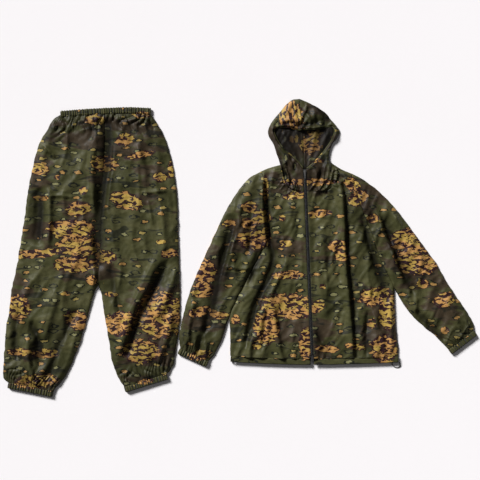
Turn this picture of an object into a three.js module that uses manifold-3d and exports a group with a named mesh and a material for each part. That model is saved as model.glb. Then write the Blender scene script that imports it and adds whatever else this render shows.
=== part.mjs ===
// Two-piece camouflage over-suit, laid flat on its back: a hooded zip jacket and elastic trousers.
// Millimetres, +Z up from the floor, +X from the trousers to the jacket, +Y towards the hood.
// Right and left are the wearer's. The cloth is drawn 2 mm thick, with air between front and back.
import * as THREE from 'three';
import { mergeVertices } from 'three/addons/utils/BufferGeometryUtils.js';
import Module from 'manifold-3d';

const wasm = await Module();
wasm.setup();

// Jacket
const BODY_LENGTH = 768; // neck fold to hem
const HEM_WIDTH = 656;
const HOOD_LENGTH = 257;
const HOOD_WIDTH = 280;
const SLEEVE_LENGTH = 790; // shoulder point to cuff
const CUFF_WIDTH = 121;

// Trousers
const TROUSER_LENGTH = 1100; // waist to ankle
const HIP_WIDTH = 560;
const WAIST_WIDTH = 350;
const ANKLE_WIDTH = 175;

// Make
const LAY = 26; // height of a flattened garment
const CLOTH = 2;
const GAP = 0.3; // air kept between neighbouring pieces
const SEAM = 5; // width of a seam or an edge fold
const CASING = 24; // width of an elastic casing
const LIP = 2.5; // casing beyond each edge of its elastic
const ELASTIC = 1.2; // thickness of the elastic
const APART = 3; // air between the two garments
const CORD = 3;

// Zip
const TAPE = 15; // width of one tape
const COIL = 2.8; // width of one row of teeth
const SPLIT = 0.7; // half the slot between the two rows
const ZIP_EDGE = 7; // front panel edge to the middle of the zip
const SLIDER_LENGTH = 13;
const SLIDER_WIDTH = 11;
const PULLER_LENGTH = 26;

const OLIVE = 0x464b32;
const BROWN = 0x4b443a;
const DARK = 0x2b2d2a;

const add = (p, q, k = 1) => [p[0] + q[0] * k, p[1] + q[1] * k];
const unit = (p, q) => {
  const length = Math.hypot(q[0] - p[0], q[1] - p[1]);
  return [(q[0] - p[0]) / length, (q[1] - p[1]) / length];
};
const left = (d) => [-d[1], d[0]];
const mix = (p, q, f) => [p[0] + (q[0] - p[0]) * f, p[1] + (q[1] - p[1]) * f];

// A line through the points, rounded between them.
function rounded(points) {
  const curve = new THREE.SplineCurve(points.map((p) => new THREE.Vector2(...p)));
  return curve.getPoints((points.length - 1) * 3).map((p) => [p.x, p.y]);
}

// An open line moved sideways, positive to its left.
function shifted(line, distance) {
  return line.map((p, i) => {
    const before = i ? left(unit(line[i - 1], p)) : left(unit(p, line[1]));
    const after = i < line.length - 1 ? left(unit(p, line[i + 1])) : before;
    const scale = distance / (1 + before[0] * after[0] + before[1] * after[1]);
    return [p[0] + (before[0] + after[0]) * scale, p[1] + (before[1] + after[1]) * scale];
  });
}

// A closed outline drawn in by half the gap on every side.
function inset(outline) {
  const turn = THREE.ShapeUtils.isClockWise(outline.map((p) => new THREE.Vector2(...p))) ? -1 : 1;
  const last = outline[outline.length - 1];
  const ring = shifted([last, ...outline, outline[0]], (turn * GAP) / 2);
  return ring.slice(1, -1);
}

function plate(outline, low, high) {
  const shape = new THREE.Shape(outline.map((p) => new THREE.Vector2(...p)));
  const geometry = new THREE.ExtrudeGeometry(shape, { depth: high - low, bevelEnabled: false });
  return geometry.translate(0, 0, low);
}

const panel = (outline, low, high) => plate(inset(outline), low, high);
const backPanel = (outline) => panel(outline, 0, CLOTH);
const frontPanel = (outline) => panel(outline, LAY - CLOTH, LAY);

// A seam or edge fold standing between the two layers, on the left of its line, short of its ends.
function standing(whole) {
  const last = whole.length - 1;
  const line = [...whole];
  line[0] = add(whole[0], unit(whole[0], whole[1]), SEAM * 0.7);
  line[last] = add(whole[last], unit(whole[last], whole[last - 1]), SEAM * 0.7);
  const inner = shifted(line, SEAM);
  const outline = [...shifted(line, GAP / 2), ...inner.reverse()];
  return plate(outline, CLOTH + GAP, LAY - CLOTH - GAP);
}

const box = (x0, x1, y0, y1, z0, z1) =>
  new THREE.BoxGeometry(x1 - x0, y1 - y0, z1 - z0)
    .translate((x0 + x1) / 2, (y0 + y1) / 2, (z0 + z1) / 2);

function clean(geometry) {
  const bare = geometry.clone();
  bare.deleteAttribute('normal');
  bare.deleteAttribute('uv');
  return mergeVertices(bare, 1e-4);
}

function solid(geometry) {
  const bare = clean(geometry);
  const triVerts = Uint32Array.from(bare.index.array);
  const vertProperties = Float32Array.from(bare.attributes.position.array);
  return new wasm.Manifold(new wasm.Mesh({ numProp: 3, vertProperties, triVerts }));
}

function surface(body) {
  const mesh = body.getMesh();
  const geometry = new THREE.BufferGeometry();
  geometry.setAttribute('position', new THREE.BufferAttribute(mesh.vertProperties, 3));
  geometry.setIndex(new THREE.BufferAttribute(mesh.triVerts, 1));
  return geometry;
}

// Takes a drawing made along its own edge to that edge: x along it from start, y to its left.
function along(geometry, start, direction) {
  const turn = Math.atan2(direction[1], direction[0]);
  return geometry.rotateZ(turn).translate(start[0], start[1], 0);
}

// A casing seen from its edge, with a groove for the elastic. A ring is closed at both ends;
// a half is open at x = width, where it meets its other half.
function casing(width, half) {
  const wall = CLOTH + GAP + ELASTIC + GAP;
  const skin = CLOTH;
  const far = (inward) => (half ? width + 1 : width - GAP / 2 - inward);
  const near = (inward) => GAP / 2 + inward;
  const outer = solid(box(near(0), width - GAP / 2, 0, CASING - GAP, 0, LAY));
  const hole = solid(box(near(wall), far(wall), -1, CASING + 1, wall, LAY - wall));
  const groove = solid(box(near(skin), far(skin), LIP, CASING - GAP - LIP, skin, LAY - skin));
  return surface(outer.subtract(hole).subtract(groove));
}

function elastic(width, half) {
  const out = CLOTH + GAP;
  const within = out + ELASTIC;
  const low = LIP + GAP;
  const high = CASING - LIP - 2 * GAP;
  const end = half ? width - GAP / 2 : width - GAP / 2 - out;
  const far = half ? width + 1 : width - GAP / 2 - within;
  const band = solid(box(GAP / 2 + out, end, low, high, out, LAY - out));
  const hole = solid(box(GAP / 2 + within, far, -1, CASING, within, LAY - within));
  return surface(band.subtract(hole));
}

// ---- Jacket landmarks. Its origin is the middle of the neck fold. ----
const body = (u, v) => [u * HEM_WIDTH, -v * BODY_LENGTH];
const hood = (u, v) => [u * HOOD_WIDTH, v * HOOD_LENGTH];

const NECK = { right: hood(-0.32, 0), left: hood(0.418, 0) };
const ZIP_TOP = body(0, 0.02);
const ZIP_END = body(0.046, 1);
const zipWay = unit(ZIP_TOP, ZIP_END);
const zipLength = Math.hypot(ZIP_END[0] - ZIP_TOP[0], ZIP_END[1] - ZIP_TOP[1]);
const onZip = (y, side) => {
  const f = (y - ZIP_TOP[1]) / (ZIP_END[1] - ZIP_TOP[1]);
  return add(mix(ZIP_TOP, ZIP_END, f), [side, 0]);
};

// Each armhole runs from the shoulder point down to the underarm.
const ARMHOLE = {
  right: [[-0.256, 0.056], [-0.22, 0.137], [-0.207, 0.32], [-0.226, 0.411], [-0.25, 0.432]],
  left: [[0.285, 0.036], [0.332, 0.203], [0.381, 0.31], [0.451, 0.478], [0.535, 0.625]],
};
const armhole = (side) => rounded(ARMHOLE[side].map(([u, v]) => body(u, v)));

// Angle of each sleeve from straight down, and its outer fold: how far along, how far bulged.
const SLEEVE_TURN = { right: -25.2, left: 37.3 };
const SLEEVE_REACH = { right: 0.968, left: 1.011 }; // the right sleeve lies slightly rucked up
const OUTER = {
  right: [[0.04, 0.054], [0.13, 0.092], [0.26, 0.087], [0.52, 0.083], [0.66, 0.072], [0.86, 0.036]],
  left: [[0.075, 0.034], [0.17, 0.057], [0.29, 0.067], [0.51, 0.061], [0.73, 0.042], [0.93, 0.024]],
};

function sleeveFrame(side) {
  const turn = THREE.MathUtils.degToRad(SLEEVE_TURN[side]);
  const down = [Math.sin(turn), -Math.cos(turn)];
  const out = side === 'right' ? [down[1], -down[0]] : [-down[1], down[0]];
  const line = armhole(side);
  const shoulder = line[0];
  const underarm = line[line.length - 1];
  const cuffOut = add(shoulder, down, SLEEVE_LENGTH * SLEEVE_REACH[side]);
  const cuffIn = add(cuffOut, out, -CUFF_WIDTH);
  return { down, out, shoulder, underarm, cuffOut, cuffIn };
}

function outerFold(side) {
  const { down, out, shoulder, cuffOut } = sleeveFrame(side);
  const points = OUTER[side].map(([f, b]) =>
    add(add(shoulder, down, f * SLEEVE_LENGTH), out, b * SLEEVE_LENGTH));
  return rounded([shoulder, ...points, add(cuffOut, down, -CASING)]);
}

function underarmSeam(side) {
  const { down, out, underarm, cuffIn } = sleeveFrame(side);
  const end = add(cuffIn, down, -CASING);
  const bulge = side === 'right' ? 0.01 : -0.025;
  const points = [0.3, 0.65].map((f) => add(mix(underarm, end, f), out, bulge * SLEEVE_LENGTH));
  return rounded([underarm, ...points, end]);
}

function sleeveOutline(side) {
  return [...outerFold(side), ...underarmSeam(side).reverse(), ...armhole(side).reverse().slice(1, -1)];
}

// The side seam follows the sleeve while the two touch, then drops to the hem.
function sideSeam(side) {
  const hemEnd = body(side === 'right' ? -0.441 : 0.559, 1);
  const top = add(hemEnd, [0, CASING]);
  if (side === 'left') {
    return rounded([body(0.535, 0.625), body(0.538, 0.7), body(0.551, 0.86), top]);
  }
  const beside = underarmSeam('right').filter((p) => p[0] > top[0] + 2);
  return [...beside, body(-0.441, 0.79), top];
}

const shoulderLine = (side) => [NECK[side], armhole(side)[0]];

// The seam that joins the hood's throat to the jacket front, from the shoulder to the zip.
function neckSeam(side) {
  const u = side === 'right' ? [-0.32, -0.265, -0.14] : [0.468, 0.398, 0.234];
  const v = side === 'right' ? [0.02, 0.1, 0.128] : [0.045, 0.1, 0.125];
  const points = u.map((at, i) => [at * HOOD_WIDTH, -v[i] * BODY_LENGTH]);
  const end = onZip(-0.135 * BODY_LENGTH, side === 'right' ? -ZIP_EDGE : ZIP_EDGE);
  return rounded([mix(NECK[side], armhole(side)[0], 0.12), ...points, end]);
}

function backOutline() {
  const hem = sideSeam('left').slice(-1)[0];
  const right = [...shoulderLine('right').slice(0, 1), ...armhole('right'), ...sideSeam('right').slice(1)];
  const other = [...shoulderLine('left').slice(0, 1), ...armhole('left'), ...sideSeam('left').slice(1)];
  return [...right, hem, ...other.reverse().slice(1)];
}

function frontOutline(side) {
  const seam = neckSeam(side);
  const edge = side === 'right' ? -ZIP_EDGE : ZIP_EDGE;
  const foot = onZip(-BODY_LENGTH + CASING, edge);
  return [...seam.reverse(), ...armhole(side), ...sideSeam(side).slice(1), foot];
}

function throatOutline(side) {
  const seam = neckSeam(side);
  const edge = side === 'right' ? -ZIP_EDGE : ZIP_EDGE;
  const rim = hood(side === 'right' ? -0.06 : 0.085, 0);
  return [NECK[side], ...seam, onZip(ZIP_TOP[1], edge), rim];
}

function hemCasing(side) {
  const hemEnd = body(side === 'right' ? -0.441 : 0.559, 1);
  const width = Math.abs(onZip(-BODY_LENGTH, 0)[0] - hemEnd[0]) - ZIP_EDGE;
  const shape = casing(width, true);
  if (side === 'right') return shape.translate(hemEnd[0], hemEnd[1], 0);
  return shape.rotateZ(Math.PI).translate(hemEnd[0], hemEnd[1] + CASING - GAP, 0);
}

// ---- Hood ----
const HOOD_SIDE = {
  right: [[-0.36, 0.105], [-0.418, 0.257], [-0.486, 0.409], [-0.514, 0.517], [-0.461, 0.638],
    [-0.361, 0.774], [-0.221, 0.957], [-0.096, 1]],
  left: [[0.36, 0.06], [0.36, 0.152], [0.375, 0.304], [0.475, 0.44], [0.486, 0.53], [0.375, 0.67],
    [0.25, 0.82], [0.057, 0.94]],
};
const CROWN = hood(-0.03, 0.985);
const BROW = hood(-0.03, 0.52);
const RIM = {
  right: [[-0.06, 0], [-0.139, 0.09], [-0.236, 0.183], [-0.36, 0.288], [-0.415, 0.41], [-0.425, 0.5]],
  left: [[0.085, 0], [0.155, 0.09], [0.207, 0.198], [0.295, 0.288], [0.37, 0.42], [0.395, 0.52]],
};
const BROW_EDGE = { right: [-0.28, 0.57], left: [0.19, 0.56] };

const crownFold = (side) => rounded([NECK[side], ...HOOD_SIDE[side].map(([u, v]) => hood(u, v)), CROWN]);
const rimLine = (side) => rounded(
  [...RIM[side], BROW_EDGE[side]].map(([u, v]) => hood(u, v)).concat([BROW]));
const hoodBack = (side) => [...crownFold(side), hood(0.02, 0)];
const hoodFront = (side) => [...crownFold(side), ...rimLine(side).reverse()];

// ---- Trousers landmarks. Their origin is the middle of the waist. ----
const leg = (u, v) => [u * HIP_WIDTH, -v * TROUSER_LENGTH];
const FORK = leg(-0.048, 0.62); // where the two legs part
const CROTCH = mix([0, 0], FORK, 0.44);
const OUTSEAM = {
  right: [[-0.4, 0.064], [-0.458, 0.114], [-0.492, 0.169], [-0.536, 0.29], [-0.593, 0.493],
    [-0.652, 0.653], [-0.686, 0.765], [-0.708, 0.9]],
  left: [[0.407, 0.082], [0.468, 0.181], [0.495, 0.269], [0.513, 0.383], [0.52, 0.5],
    [0.525, 0.694], [0.52, 0.765], [0.486, 0.88]],
};
const INSEAM = {
  right: [[-0.08, 0.655], [-0.129, 0.741], [-0.177, 0.833], [-0.25, 0.915]],
  left: [[-0.022, 0.655], [0.007, 0.765], [0.041, 0.855], [0.085, 0.93]],
};
const ANKLE = { right: { at: leg(-0.528, 1), turn: -12.4 }, left: { at: leg(0.291, 0.977), turn: 17.4 } };

function ankleFrame(side) {
  const turn = THREE.MathUtils.degToRad(ANKLE[side].turn);
  const across = [Math.cos(turn), Math.sin(turn)];
  const start = add(ANKLE[side].at, across, -ANKLE_WIDTH / 2);
  const end = add(ANKLE[side].at, across, ANKLE_WIDTH / 2);
  const up = left(across);
  return { across, start, end, top: [add(start, up, CASING), add(end, up, CASING)] };
}

function outseam(side) {
  const waist = [side === 'right' ? -WAIST_WIDTH / 2 : WAIST_WIDTH / 2, -CASING];
  const ankle = ankleFrame(side).top[side === 'right' ? 0 : 1];
  return rounded([waist, ...OUTSEAM[side].map(([u, v]) => leg(u, v)), ankle]);
}

function inseam(side) {
  const ankle = ankleFrame(side).top[side === 'right' ? 1 : 0];
  return [CROTCH, ...rounded([FORK, ...INSEAM[side].map(([u, v]) => leg(u, v)), ankle])];
}

function legOutline(side) {
  const centre = mix([0, 0], FORK, CASING / -FORK[1]);
  return [centre, ...outseam(side), ...inseam(side).reverse()];
}

function waistHalf(side, make) {
  const shape = make(WAIST_WIDTH / 2, true);
  if (side === 'right') return shape.translate(-WAIST_WIDTH / 2, -CASING + GAP, 0);
  return shape.rotateZ(Math.PI).translate(WAIST_WIDTH / 2, 0, 0);
}

// ---- Zip, drawn along its own line: x across, y down from the top ----
function placeOnZip(geometry) {
  const turn = Math.atan2(zipWay[0], -zipWay[1]);
  return geometry.rotateZ(turn).translate(ZIP_TOP[0], ZIP_TOP[1], 0);
}
const zipBottom = -zipLength + CASING + 1;
const sideways = (side, a, b) => (side === 'right' ? [-b, -a] : [a, b]);
const TAPE_TOP = LAY - CLOTH - GAP;

function zipTape(side) {
  const [x0, x1] = sideways(side, SPLIT, TAPE);
  return placeOnZip(box(x0, x1, zipBottom, 0, TAPE_TOP - 1, TAPE_TOP));
}

function zipTeeth(side) {
  const [x0, x1] = sideways(side, SPLIT, SPLIT + COIL);
  return placeOnZip(box(x0, x1, zipBottom + 2, -5, TAPE_TOP + GAP, LAY));
}

function topStop(side) {
  const [x0, x1] = sideways(side, SPLIT, SPLIT + COIL);
  return placeOnZip(box(x0, x1, -4.5, -1, TAPE_TOP + GAP, LAY));
}

function zipBox() {
  return placeOnZip(box(-5, 5, zipBottom - 13, zipBottom - GAP, TAPE_TOP - 1.5, LAY));
}

// The slider's two plates hold the rows of teeth from above and below, joined by a thin bridge.
const SLIDER_TOP = LAY + GAP + 1.6;
const HINGE_Z = SLIDER_TOP + 1.6;
const SLIDER_Y = -6 - SLIDER_LENGTH / 2;

function zipSlider() {
  const half = SLIDER_WIDTH / 2;
  const y0 = SLIDER_Y - SLIDER_LENGTH / 2;
  const y1 = SLIDER_Y + SLIDER_LENGTH / 2;
  const under = TAPE_TOP - 1 - GAP;
  const blocks = [
    box(-half, half, y0, y1, LAY + GAP, SLIDER_TOP),
    box(-half, half, y0, y1, under - 1.4, under),
    box(-SPLIT / 2, SPLIT / 2, y0 + 3, y1 - 1, under - 0.5, LAY + 1),
  ];
  for (const s of [-1, 1]) {
    const flange = s * 4.2;
    const ear = s * 3.1;
    blocks.push(box(flange - 0.6, flange + 0.6, y0, y1, LAY - 1.2, LAY + 1));
    blocks.push(box(ear - 0.6, ear + 0.6, SLIDER_Y - 2, SLIDER_Y + 2, LAY + 1, HINGE_Z + 1));
  }
  const body = blocks.map(solid).reduce((a, b) => a.add(b));
  return placeOnZip(surface(body));
}

function zipPuller() {
  const barrel = new THREE.CylinderGeometry(0.9, 0.9, 4.2, 12).rotateZ(Math.PI / 2);
  barrel.translate(0, SLIDER_Y, HINGE_Z);
  const end = SLIDER_Y - PULLER_LENGTH;
  const tab = solid(box(-3, 3, end, SLIDER_Y - 3.2, HINGE_Z - 0.6, HINGE_Z + 0.6));
  const neck = solid(box(-1.4, 1.4, SLIDER_Y - 4, SLIDER_Y, HINGE_Z - 0.6, HINGE_Z + 0.6));
  const eye = solid(box(-1.5, 1.5, end + 2, end + 8, HINGE_Z - 2, HINGE_Z + 2));
  return placeOnZip(surface(solid(barrel).add(neck).add(tab).subtract(eye)));
}

function neckBand(side) {
  const line = neckSeam(side).slice(3, -3);
  const outline = [...shifted(line, -5), ...shifted(line, 5).reverse()];
  return plate(outline, LAY - CLOTH - GAP - 1.5, LAY - CLOTH - GAP);
}

function hoodRim() {
  const line = [...rimLine('right').slice(1), ...rimLine('left').reverse().slice(1, -1)];
  const outline = [...shifted(line, 1), ...shifted(line, 7).reverse()];
  return plate(outline, LAY - CLOTH - GAP - 1.5, LAY - CLOTH - GAP);
}

// The hem's elastic cord leaves the hem at its left corner in one small loop.
function hemLoop() {
  const hem = body(0.559, 1);
  const r = CORD / 2;
  const route = [[-26, -0.5 - GAP, 5], [-24, -11, 3], [-15, -20, r + 0.4], [-3, -22, r + 0.4],
    [6, -16, 3], [4, -0.5 - GAP, 5]];
  const path = new THREE.CatmullRomCurve3(
    route.map(([x, y, z]) => new THREE.Vector3(hem[0] + x, hem[1] + y, z)));
  const ring = Array.from({ length: 8 }, (_, i) => {
    const a = (i / 8) * 2 * Math.PI;
    return new THREE.Vector2(r * Math.cos(a), r * Math.sin(a));
  });
  const geometry = new THREE.ExtrudeGeometry(new THREE.Shape(ring), { steps: 24, extrudePath: path });
  return geometry;
}

const flipped = (line) => [...line].reverse();

function cuffPlace(side, make) {
  const { down, cuffOut, cuffIn } = sleeveFrame(side);
  const start = side === 'right' ? cuffOut : cuffIn;
  const far = side === 'right' ? cuffIn : cuffOut;
  return along(make(CUFF_WIDTH, false), start, unit(start, far));
}

function anklePlace(side, make) {
  const { start, end } = ankleFrame(side);
  return along(make(ANKLE_WIDTH, false), start, unit(start, end));
}

// ---- Assembly ----
const jacket = new Map();
const trousers = new Map();

jacket.set('jacket_back', [backPanel(backOutline()), OLIVE]);
for (const side of ['right', 'left']) {
  const inward = side === 'right' ? (line) => line : flipped;
  jacket.set(`jacket_front_${side}`, [frontPanel(frontOutline(side)), OLIVE]);
  jacket.set(`side_seam_${side}`, [standing(inward(sideSeam(side))), OLIVE]);
  jacket.set(`shoulder_seam_${side}`, [standing(inward(shoulderLine(side))), OLIVE]);
  jacket.set(`hood_throat_${side}`, [frontPanel(throatOutline(side)), OLIVE]);
  jacket.set(`neck_seam_${side}`, [neckBand(side), BROWN]);
  jacket.set(`hem_casing_${side}`, [hemCasing(side), OLIVE]);
  jacket.set(`zip_tape_${side}`, [zipTape(side), DARK]);
  jacket.set(`zip_teeth_${side}`, [zipTeeth(side), DARK]);
  jacket.set(`zip_top_stop_${side}`, [topStop(side), DARK]);
  jacket.set(`hood_back_${side}`, [backPanel(hoodBack(side)), OLIVE]);
  jacket.set(`hood_front_${side}`, [frontPanel(hoodFront(side)), OLIVE]);
  jacket.set(`hood_crown_fold_${side}`, [standing(flipped(inward(crownFold(side)))), OLIVE]);
  jacket.set(`sleeve_front_${side}`, [frontPanel(sleeveOutline(side)), OLIVE]);
  jacket.set(`sleeve_back_${side}`, [backPanel(sleeveOutline(side)), OLIVE]);
  jacket.set(`sleeve_outer_fold_${side}`, [standing(inward(outerFold(side))), OLIVE]);
  jacket.set(`underarm_seam_${side}`, [standing(flipped(inward(underarmSeam(side)))), OLIVE]);
  jacket.set(`cuff_casing_${side}`, [cuffPlace(side, casing), OLIVE]);
  jacket.set(`cuff_elastic_${side}`, [cuffPlace(side, elastic), DARK]);
  trousers.set(`trouser_front_${side}`, [frontPanel(legOutline(side)), OLIVE]);
  trousers.set(`trouser_back_${side}`, [backPanel(legOutline(side)), OLIVE]);
  trousers.set(`outseam_${side}`, [standing(inward(outseam(side))), OLIVE]);
  trousers.set(`inseam_${side}`, [standing(flipped(inward(inseam(side)))), OLIVE]);
  trousers.set(`waist_casing_${side}`, [waistHalf(side, casing), OLIVE]);
  trousers.set(`waist_elastic_${side}`, [waistHalf(side, elastic), DARK]);
  trousers.set(`ankle_casing_${side}`, [anklePlace(side, casing), OLIVE]);
  trousers.set(`ankle_elastic_${side}`, [anklePlace(side, elastic), DARK]);
}
jacket.set('hood_rim', [hoodRim(), OLIVE]);
jacket.set('zip_box', [zipBox(), DARK]);
jacket.set('zip_slider', [zipSlider(), 0x3a3a3c]);
jacket.set('zip_puller', [zipPuller(), 0x3a3a3c]);
jacket.set('hem_cord_loop', [hemLoop(), DARK]);

// The trousers lie beside the right sleeve, their waist level with the top of the hood.
const drop = HOOD_LENGTH - 43;
const reach = (line, y) => {
  const hits = line.slice(1).flatMap((q, i) => {
    const p = line[i];
    const f = (y - p[1]) / (q[1] - p[1]);
    return f >= 0 && f <= 1 ? [mix(p, q, f)[0]] : [];
  });
  return hits;
};
const sleeveEdge = [...outerFold('right'), sleeveFrame('right').cuffOut];
const legEdge = [...outseam('left'), ankleFrame('left').end].map((p) => add(p, [0, drop]));
const levels = Array.from({ length: 400 }, (_, i) => drop - (i / 400) * TROUSER_LENGTH);
const room = levels.flatMap((y) => {
  const s = reach(sleeveEdge, y);
  const t = reach(legEdge, y);
  return s.length && t.length ? [Math.min(...s) - Math.max(...t)] : [];
});
const aside = Math.min(...room) - APART;

const suit = new THREE.Group();
suit.name = 'camouflage_oversuit';
for (const [garment, dx, dy] of [[jacket, 0, 0], [trousers, aside, drop]]) {
  for (const [name, [geometry, colour]] of garment) {
    const metal = name === 'zip_slider' || name === 'zip_puller';
    const roughness = metal ? 0.4 : 0.85;
    const material = new THREE.MeshStandardMaterial({ color: colour, roughness, metalness: metal ? 1 : 0 });
    material.name = name;
    const mesh = new THREE.Mesh(clean(geometry), material);
    mesh.name = name;
    mesh.geometry.translate(dx, dy, 0);
    suit.add(mesh);
  }
}

// The frame's origin is under the middle of the suit, the cord left out.
const bounds = new THREE.Box3();
for (const mesh of suit.children) {
  mesh.geometry.computeBoundingBox();
  if (mesh.name !== 'hem_cord_loop') bounds.union(mesh.geometry.boundingBox);
}
const centre = bounds.getCenter(new THREE.Vector3());
for (const mesh of suit.children) {
  mesh.geometry.translate(-centre.x, -centre.y, 0);
  mesh.geometry.computeVertexNormals();
}

export default suit;
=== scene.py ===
"""Two-piece camouflage over-suit laid flat: cloth, casings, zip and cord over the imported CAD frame."""
import math

import bmesh
import bpy
import numpy as np
from bpy.props import FloatProperty, FloatVectorProperty, PointerProperty
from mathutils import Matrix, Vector, geometry


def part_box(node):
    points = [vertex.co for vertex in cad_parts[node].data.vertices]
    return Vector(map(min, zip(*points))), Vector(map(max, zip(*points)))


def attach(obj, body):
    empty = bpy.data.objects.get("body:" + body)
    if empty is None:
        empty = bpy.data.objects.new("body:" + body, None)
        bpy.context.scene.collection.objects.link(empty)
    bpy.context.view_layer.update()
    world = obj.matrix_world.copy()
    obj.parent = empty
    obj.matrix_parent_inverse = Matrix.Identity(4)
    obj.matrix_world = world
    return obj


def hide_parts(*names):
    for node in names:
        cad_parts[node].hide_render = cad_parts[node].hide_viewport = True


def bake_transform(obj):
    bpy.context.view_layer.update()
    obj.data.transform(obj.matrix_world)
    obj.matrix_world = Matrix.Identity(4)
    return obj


bl_info = {
    "name": "Camouflage Over-suit",
    "version": (1, 0, 0),
    "blender": (4, 5, 0),
    "location": "3D View > Sidebar > Over-suit",
    "description": "Builds a hooded zip jacket and trousers lying flat, in printed woven cloth",
    "category": "Object",
}

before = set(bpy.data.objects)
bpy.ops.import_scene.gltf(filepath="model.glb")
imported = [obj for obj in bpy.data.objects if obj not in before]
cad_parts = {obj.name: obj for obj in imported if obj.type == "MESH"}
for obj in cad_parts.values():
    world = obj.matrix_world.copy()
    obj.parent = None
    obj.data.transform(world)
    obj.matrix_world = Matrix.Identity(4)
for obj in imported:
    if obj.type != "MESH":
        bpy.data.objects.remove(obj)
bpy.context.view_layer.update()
SIDES = ("right", "left")


def origin(node, corner_x, corner_y, dx, dy):
    """A garment's own origin, found from a corner of one of its CAD nodes."""
    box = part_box(node)
    return np.array([box[corner_x][0] + dx, box[corner_y][1] + dy])


# The jacket is measured from the middle of its neck fold, the trousers from the middle of the waist.
JACKET = origin("hem_casing_right", 0, 0, 0.28915, 0.768)
TROUSERS = origin("waist_casing_right", 0, 1, 0.17485, 0)
EDGE = 3.2  # height of the rolled edge, mm
FLOOR = 0.6  # height of the cloth's underside, mm
TOP = 31  # the cloth never stands higher, mm
RELIEF = 2.9  # how strongly the folds stand out
FABRIC = 0.00045  # thickness of the cloth, m
MERGE = 0.00012  # layers this close are sewn together, m
UNDERSIDE = 2.2  # the underside's mesh is coarser by this
INSIDE_SHADE = 0.46  # how much light reaches the inside of the cloth
INSIDE_PRINT = 900  # mm by which the inside's print is laid out beside the outside's


# ---------------------------------------------------------------- plane geometry, in mm

def line(*points, step=7.0):
    """Points along a curve through the given ones, about a step apart."""
    p = np.array(points, float)
    if len(p) == 2:
        n = max(1, round(math.dist(*p) / step))
        return p[0] + (p[1] - p[0]) * np.linspace(0, 1, n + 1)[:, None]
    q = np.concatenate([2 * p[:1] - p[1:2], p, 2 * p[-1:] - p[-2:-1]])
    parts = [p[:1]]
    for a, b, c, d in zip(q[:-3], q[1:-2], q[2:-1], q[3:]):
        n = max(1, round(math.dist(b, c) / step))
        t = np.linspace(0, 1, n + 1)[1:, None]
        parts.append(0.5 * (2 * b + (c - a) * t + (2 * a - 5 * b + 4 * c - d) * t ** 2
                            + (3 * b - a - 3 * c + d) * t ** 3))
    return np.concatenate(parts)


def ring(*lines):
    """One closed outline from lines that meet end to end."""
    points = [lines[0]]
    for part in lines[1:]:
        points.append(part[1:] if math.dist(points[-1][-1], part[0]) < 0.5 else part)
    out = np.concatenate(points)
    return out[:-1] if math.dist(out[0], out[-1]) < 0.5 else out


def near(p, path):
    """Distance from each point to a path, how far along it, and on which side (+1 is its left)."""
    a, b = path[:-1], path[1:]
    ab = b - a
    length = np.hypot(ab[:, 0], ab[:, 1])
    t = np.clip(((p[:, None] - a) * ab).sum(2) / length ** 2, 0, 1)
    gap = p[:, None] - (a + t[..., None] * ab)
    d = np.hypot(gap[..., 0], gap[..., 1])
    i = d.argmin(1)
    rows = np.arange(len(p))
    start = np.concatenate(([0], np.cumsum(length)))
    along = (start[i] + t[rows, i] * length[i]) / start[-1]
    v = p - a[i]
    side = np.sign(ab[i, 0] * v[:, 1] - ab[i, 1] * v[:, 0])
    return d[rows, i], along, side


def inside(p, outline):
    """Which points lie inside a closed outline."""
    a, b = outline, np.roll(outline, -1, 0)
    crosses = (a[:, 1] > p[:, None, 1]) != (b[:, 1] > p[:, None, 1])
    rise = np.where(b[:, 1] == a[:, 1], 1e-9, b[:, 1] - a[:, 1])
    x = a[:, 0] + (p[:, None, 1] - a[:, 1]) * (b[:, 0] - a[:, 0]) / rise
    return (crosses & (p[:, None, 0] < x)).sum(1) % 2 == 1


def noise(x, y, seed):
    """Smooth noise from -1 to 1, one feature per unit, the same on every run."""
    x, y = x + 1000.0, y + 1000.0
    ix, iy = np.floor(x).astype(np.int64), np.floor(y).astype(np.int64)
    fx, fy = x - ix, y - iy

    def corner(dx, dy):
        n = (ix + dx) * 374761393 + (iy + dy) * 668265263 + seed * 974634777
        n = (n ^ (n >> 13)) * 1274126177
        angle = ((n ^ (n >> 16)) & 0xFFFF) / 65536 * 2 * math.pi
        return np.cos(angle) * (fx - dx) + np.sin(angle) * (fy - dy)

    u, v = fx ** 3 * (fx * (6 * fx - 15) + 10), fy ** 3 * (fy * (6 * fy - 15) + 10)
    low = corner(0, 0) * (1 - u) + corner(1, 0) * u
    high = corner(0, 1) * (1 - u) + corner(1, 1) * u
    return (low * (1 - v) + high * v) * 1.5


def creases(p, angle, across, along, seed):
    """Long folds running at an angle, in degrees, 0 to 1, with crests sharper than their valleys."""
    a = math.radians(angle)
    u = (p[:, 0] * math.cos(a) + p[:, 1] * math.sin(a)) / along
    v = (-p[:, 0] * math.sin(a) + p[:, 1] * math.cos(a)) / across
    bend = 0.6 * noise(u * 1.3, v * 0.4, seed + 5)
    return (1 - np.abs(noise(u, v + bend, seed))) ** 3


def wavy(path, amount=2.4):
    """The path, wandering a little to either side between its ends."""
    way = np.gradient(path, axis=0)
    way /= np.hypot(way[:, 0], way[:, 1])[:, None]
    run = np.concatenate(([0], np.cumsum(np.hypot(*np.diff(path, axis=0).T))))
    taper = np.clip(np.minimum(run, run[-1] - run) / 30, 0, 1)
    off = amount * taper * (noise(run / 31 + path[0, 0], run * 0, 71) + 0.5 * noise(run / 13, run * 0, 73))
    return path + off[:, None] * np.stack([-way[:, 1], way[:, 0]], 1)


def roll(t):
    """A quarter of a circle's rise, from 0 at the edge to 1."""
    return np.sqrt(np.clip(1 - (1 - np.clip(t, 0, 1)) ** 2, 0, 1))


# ---------------------------------------------------------------- the lie of each garment

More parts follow.
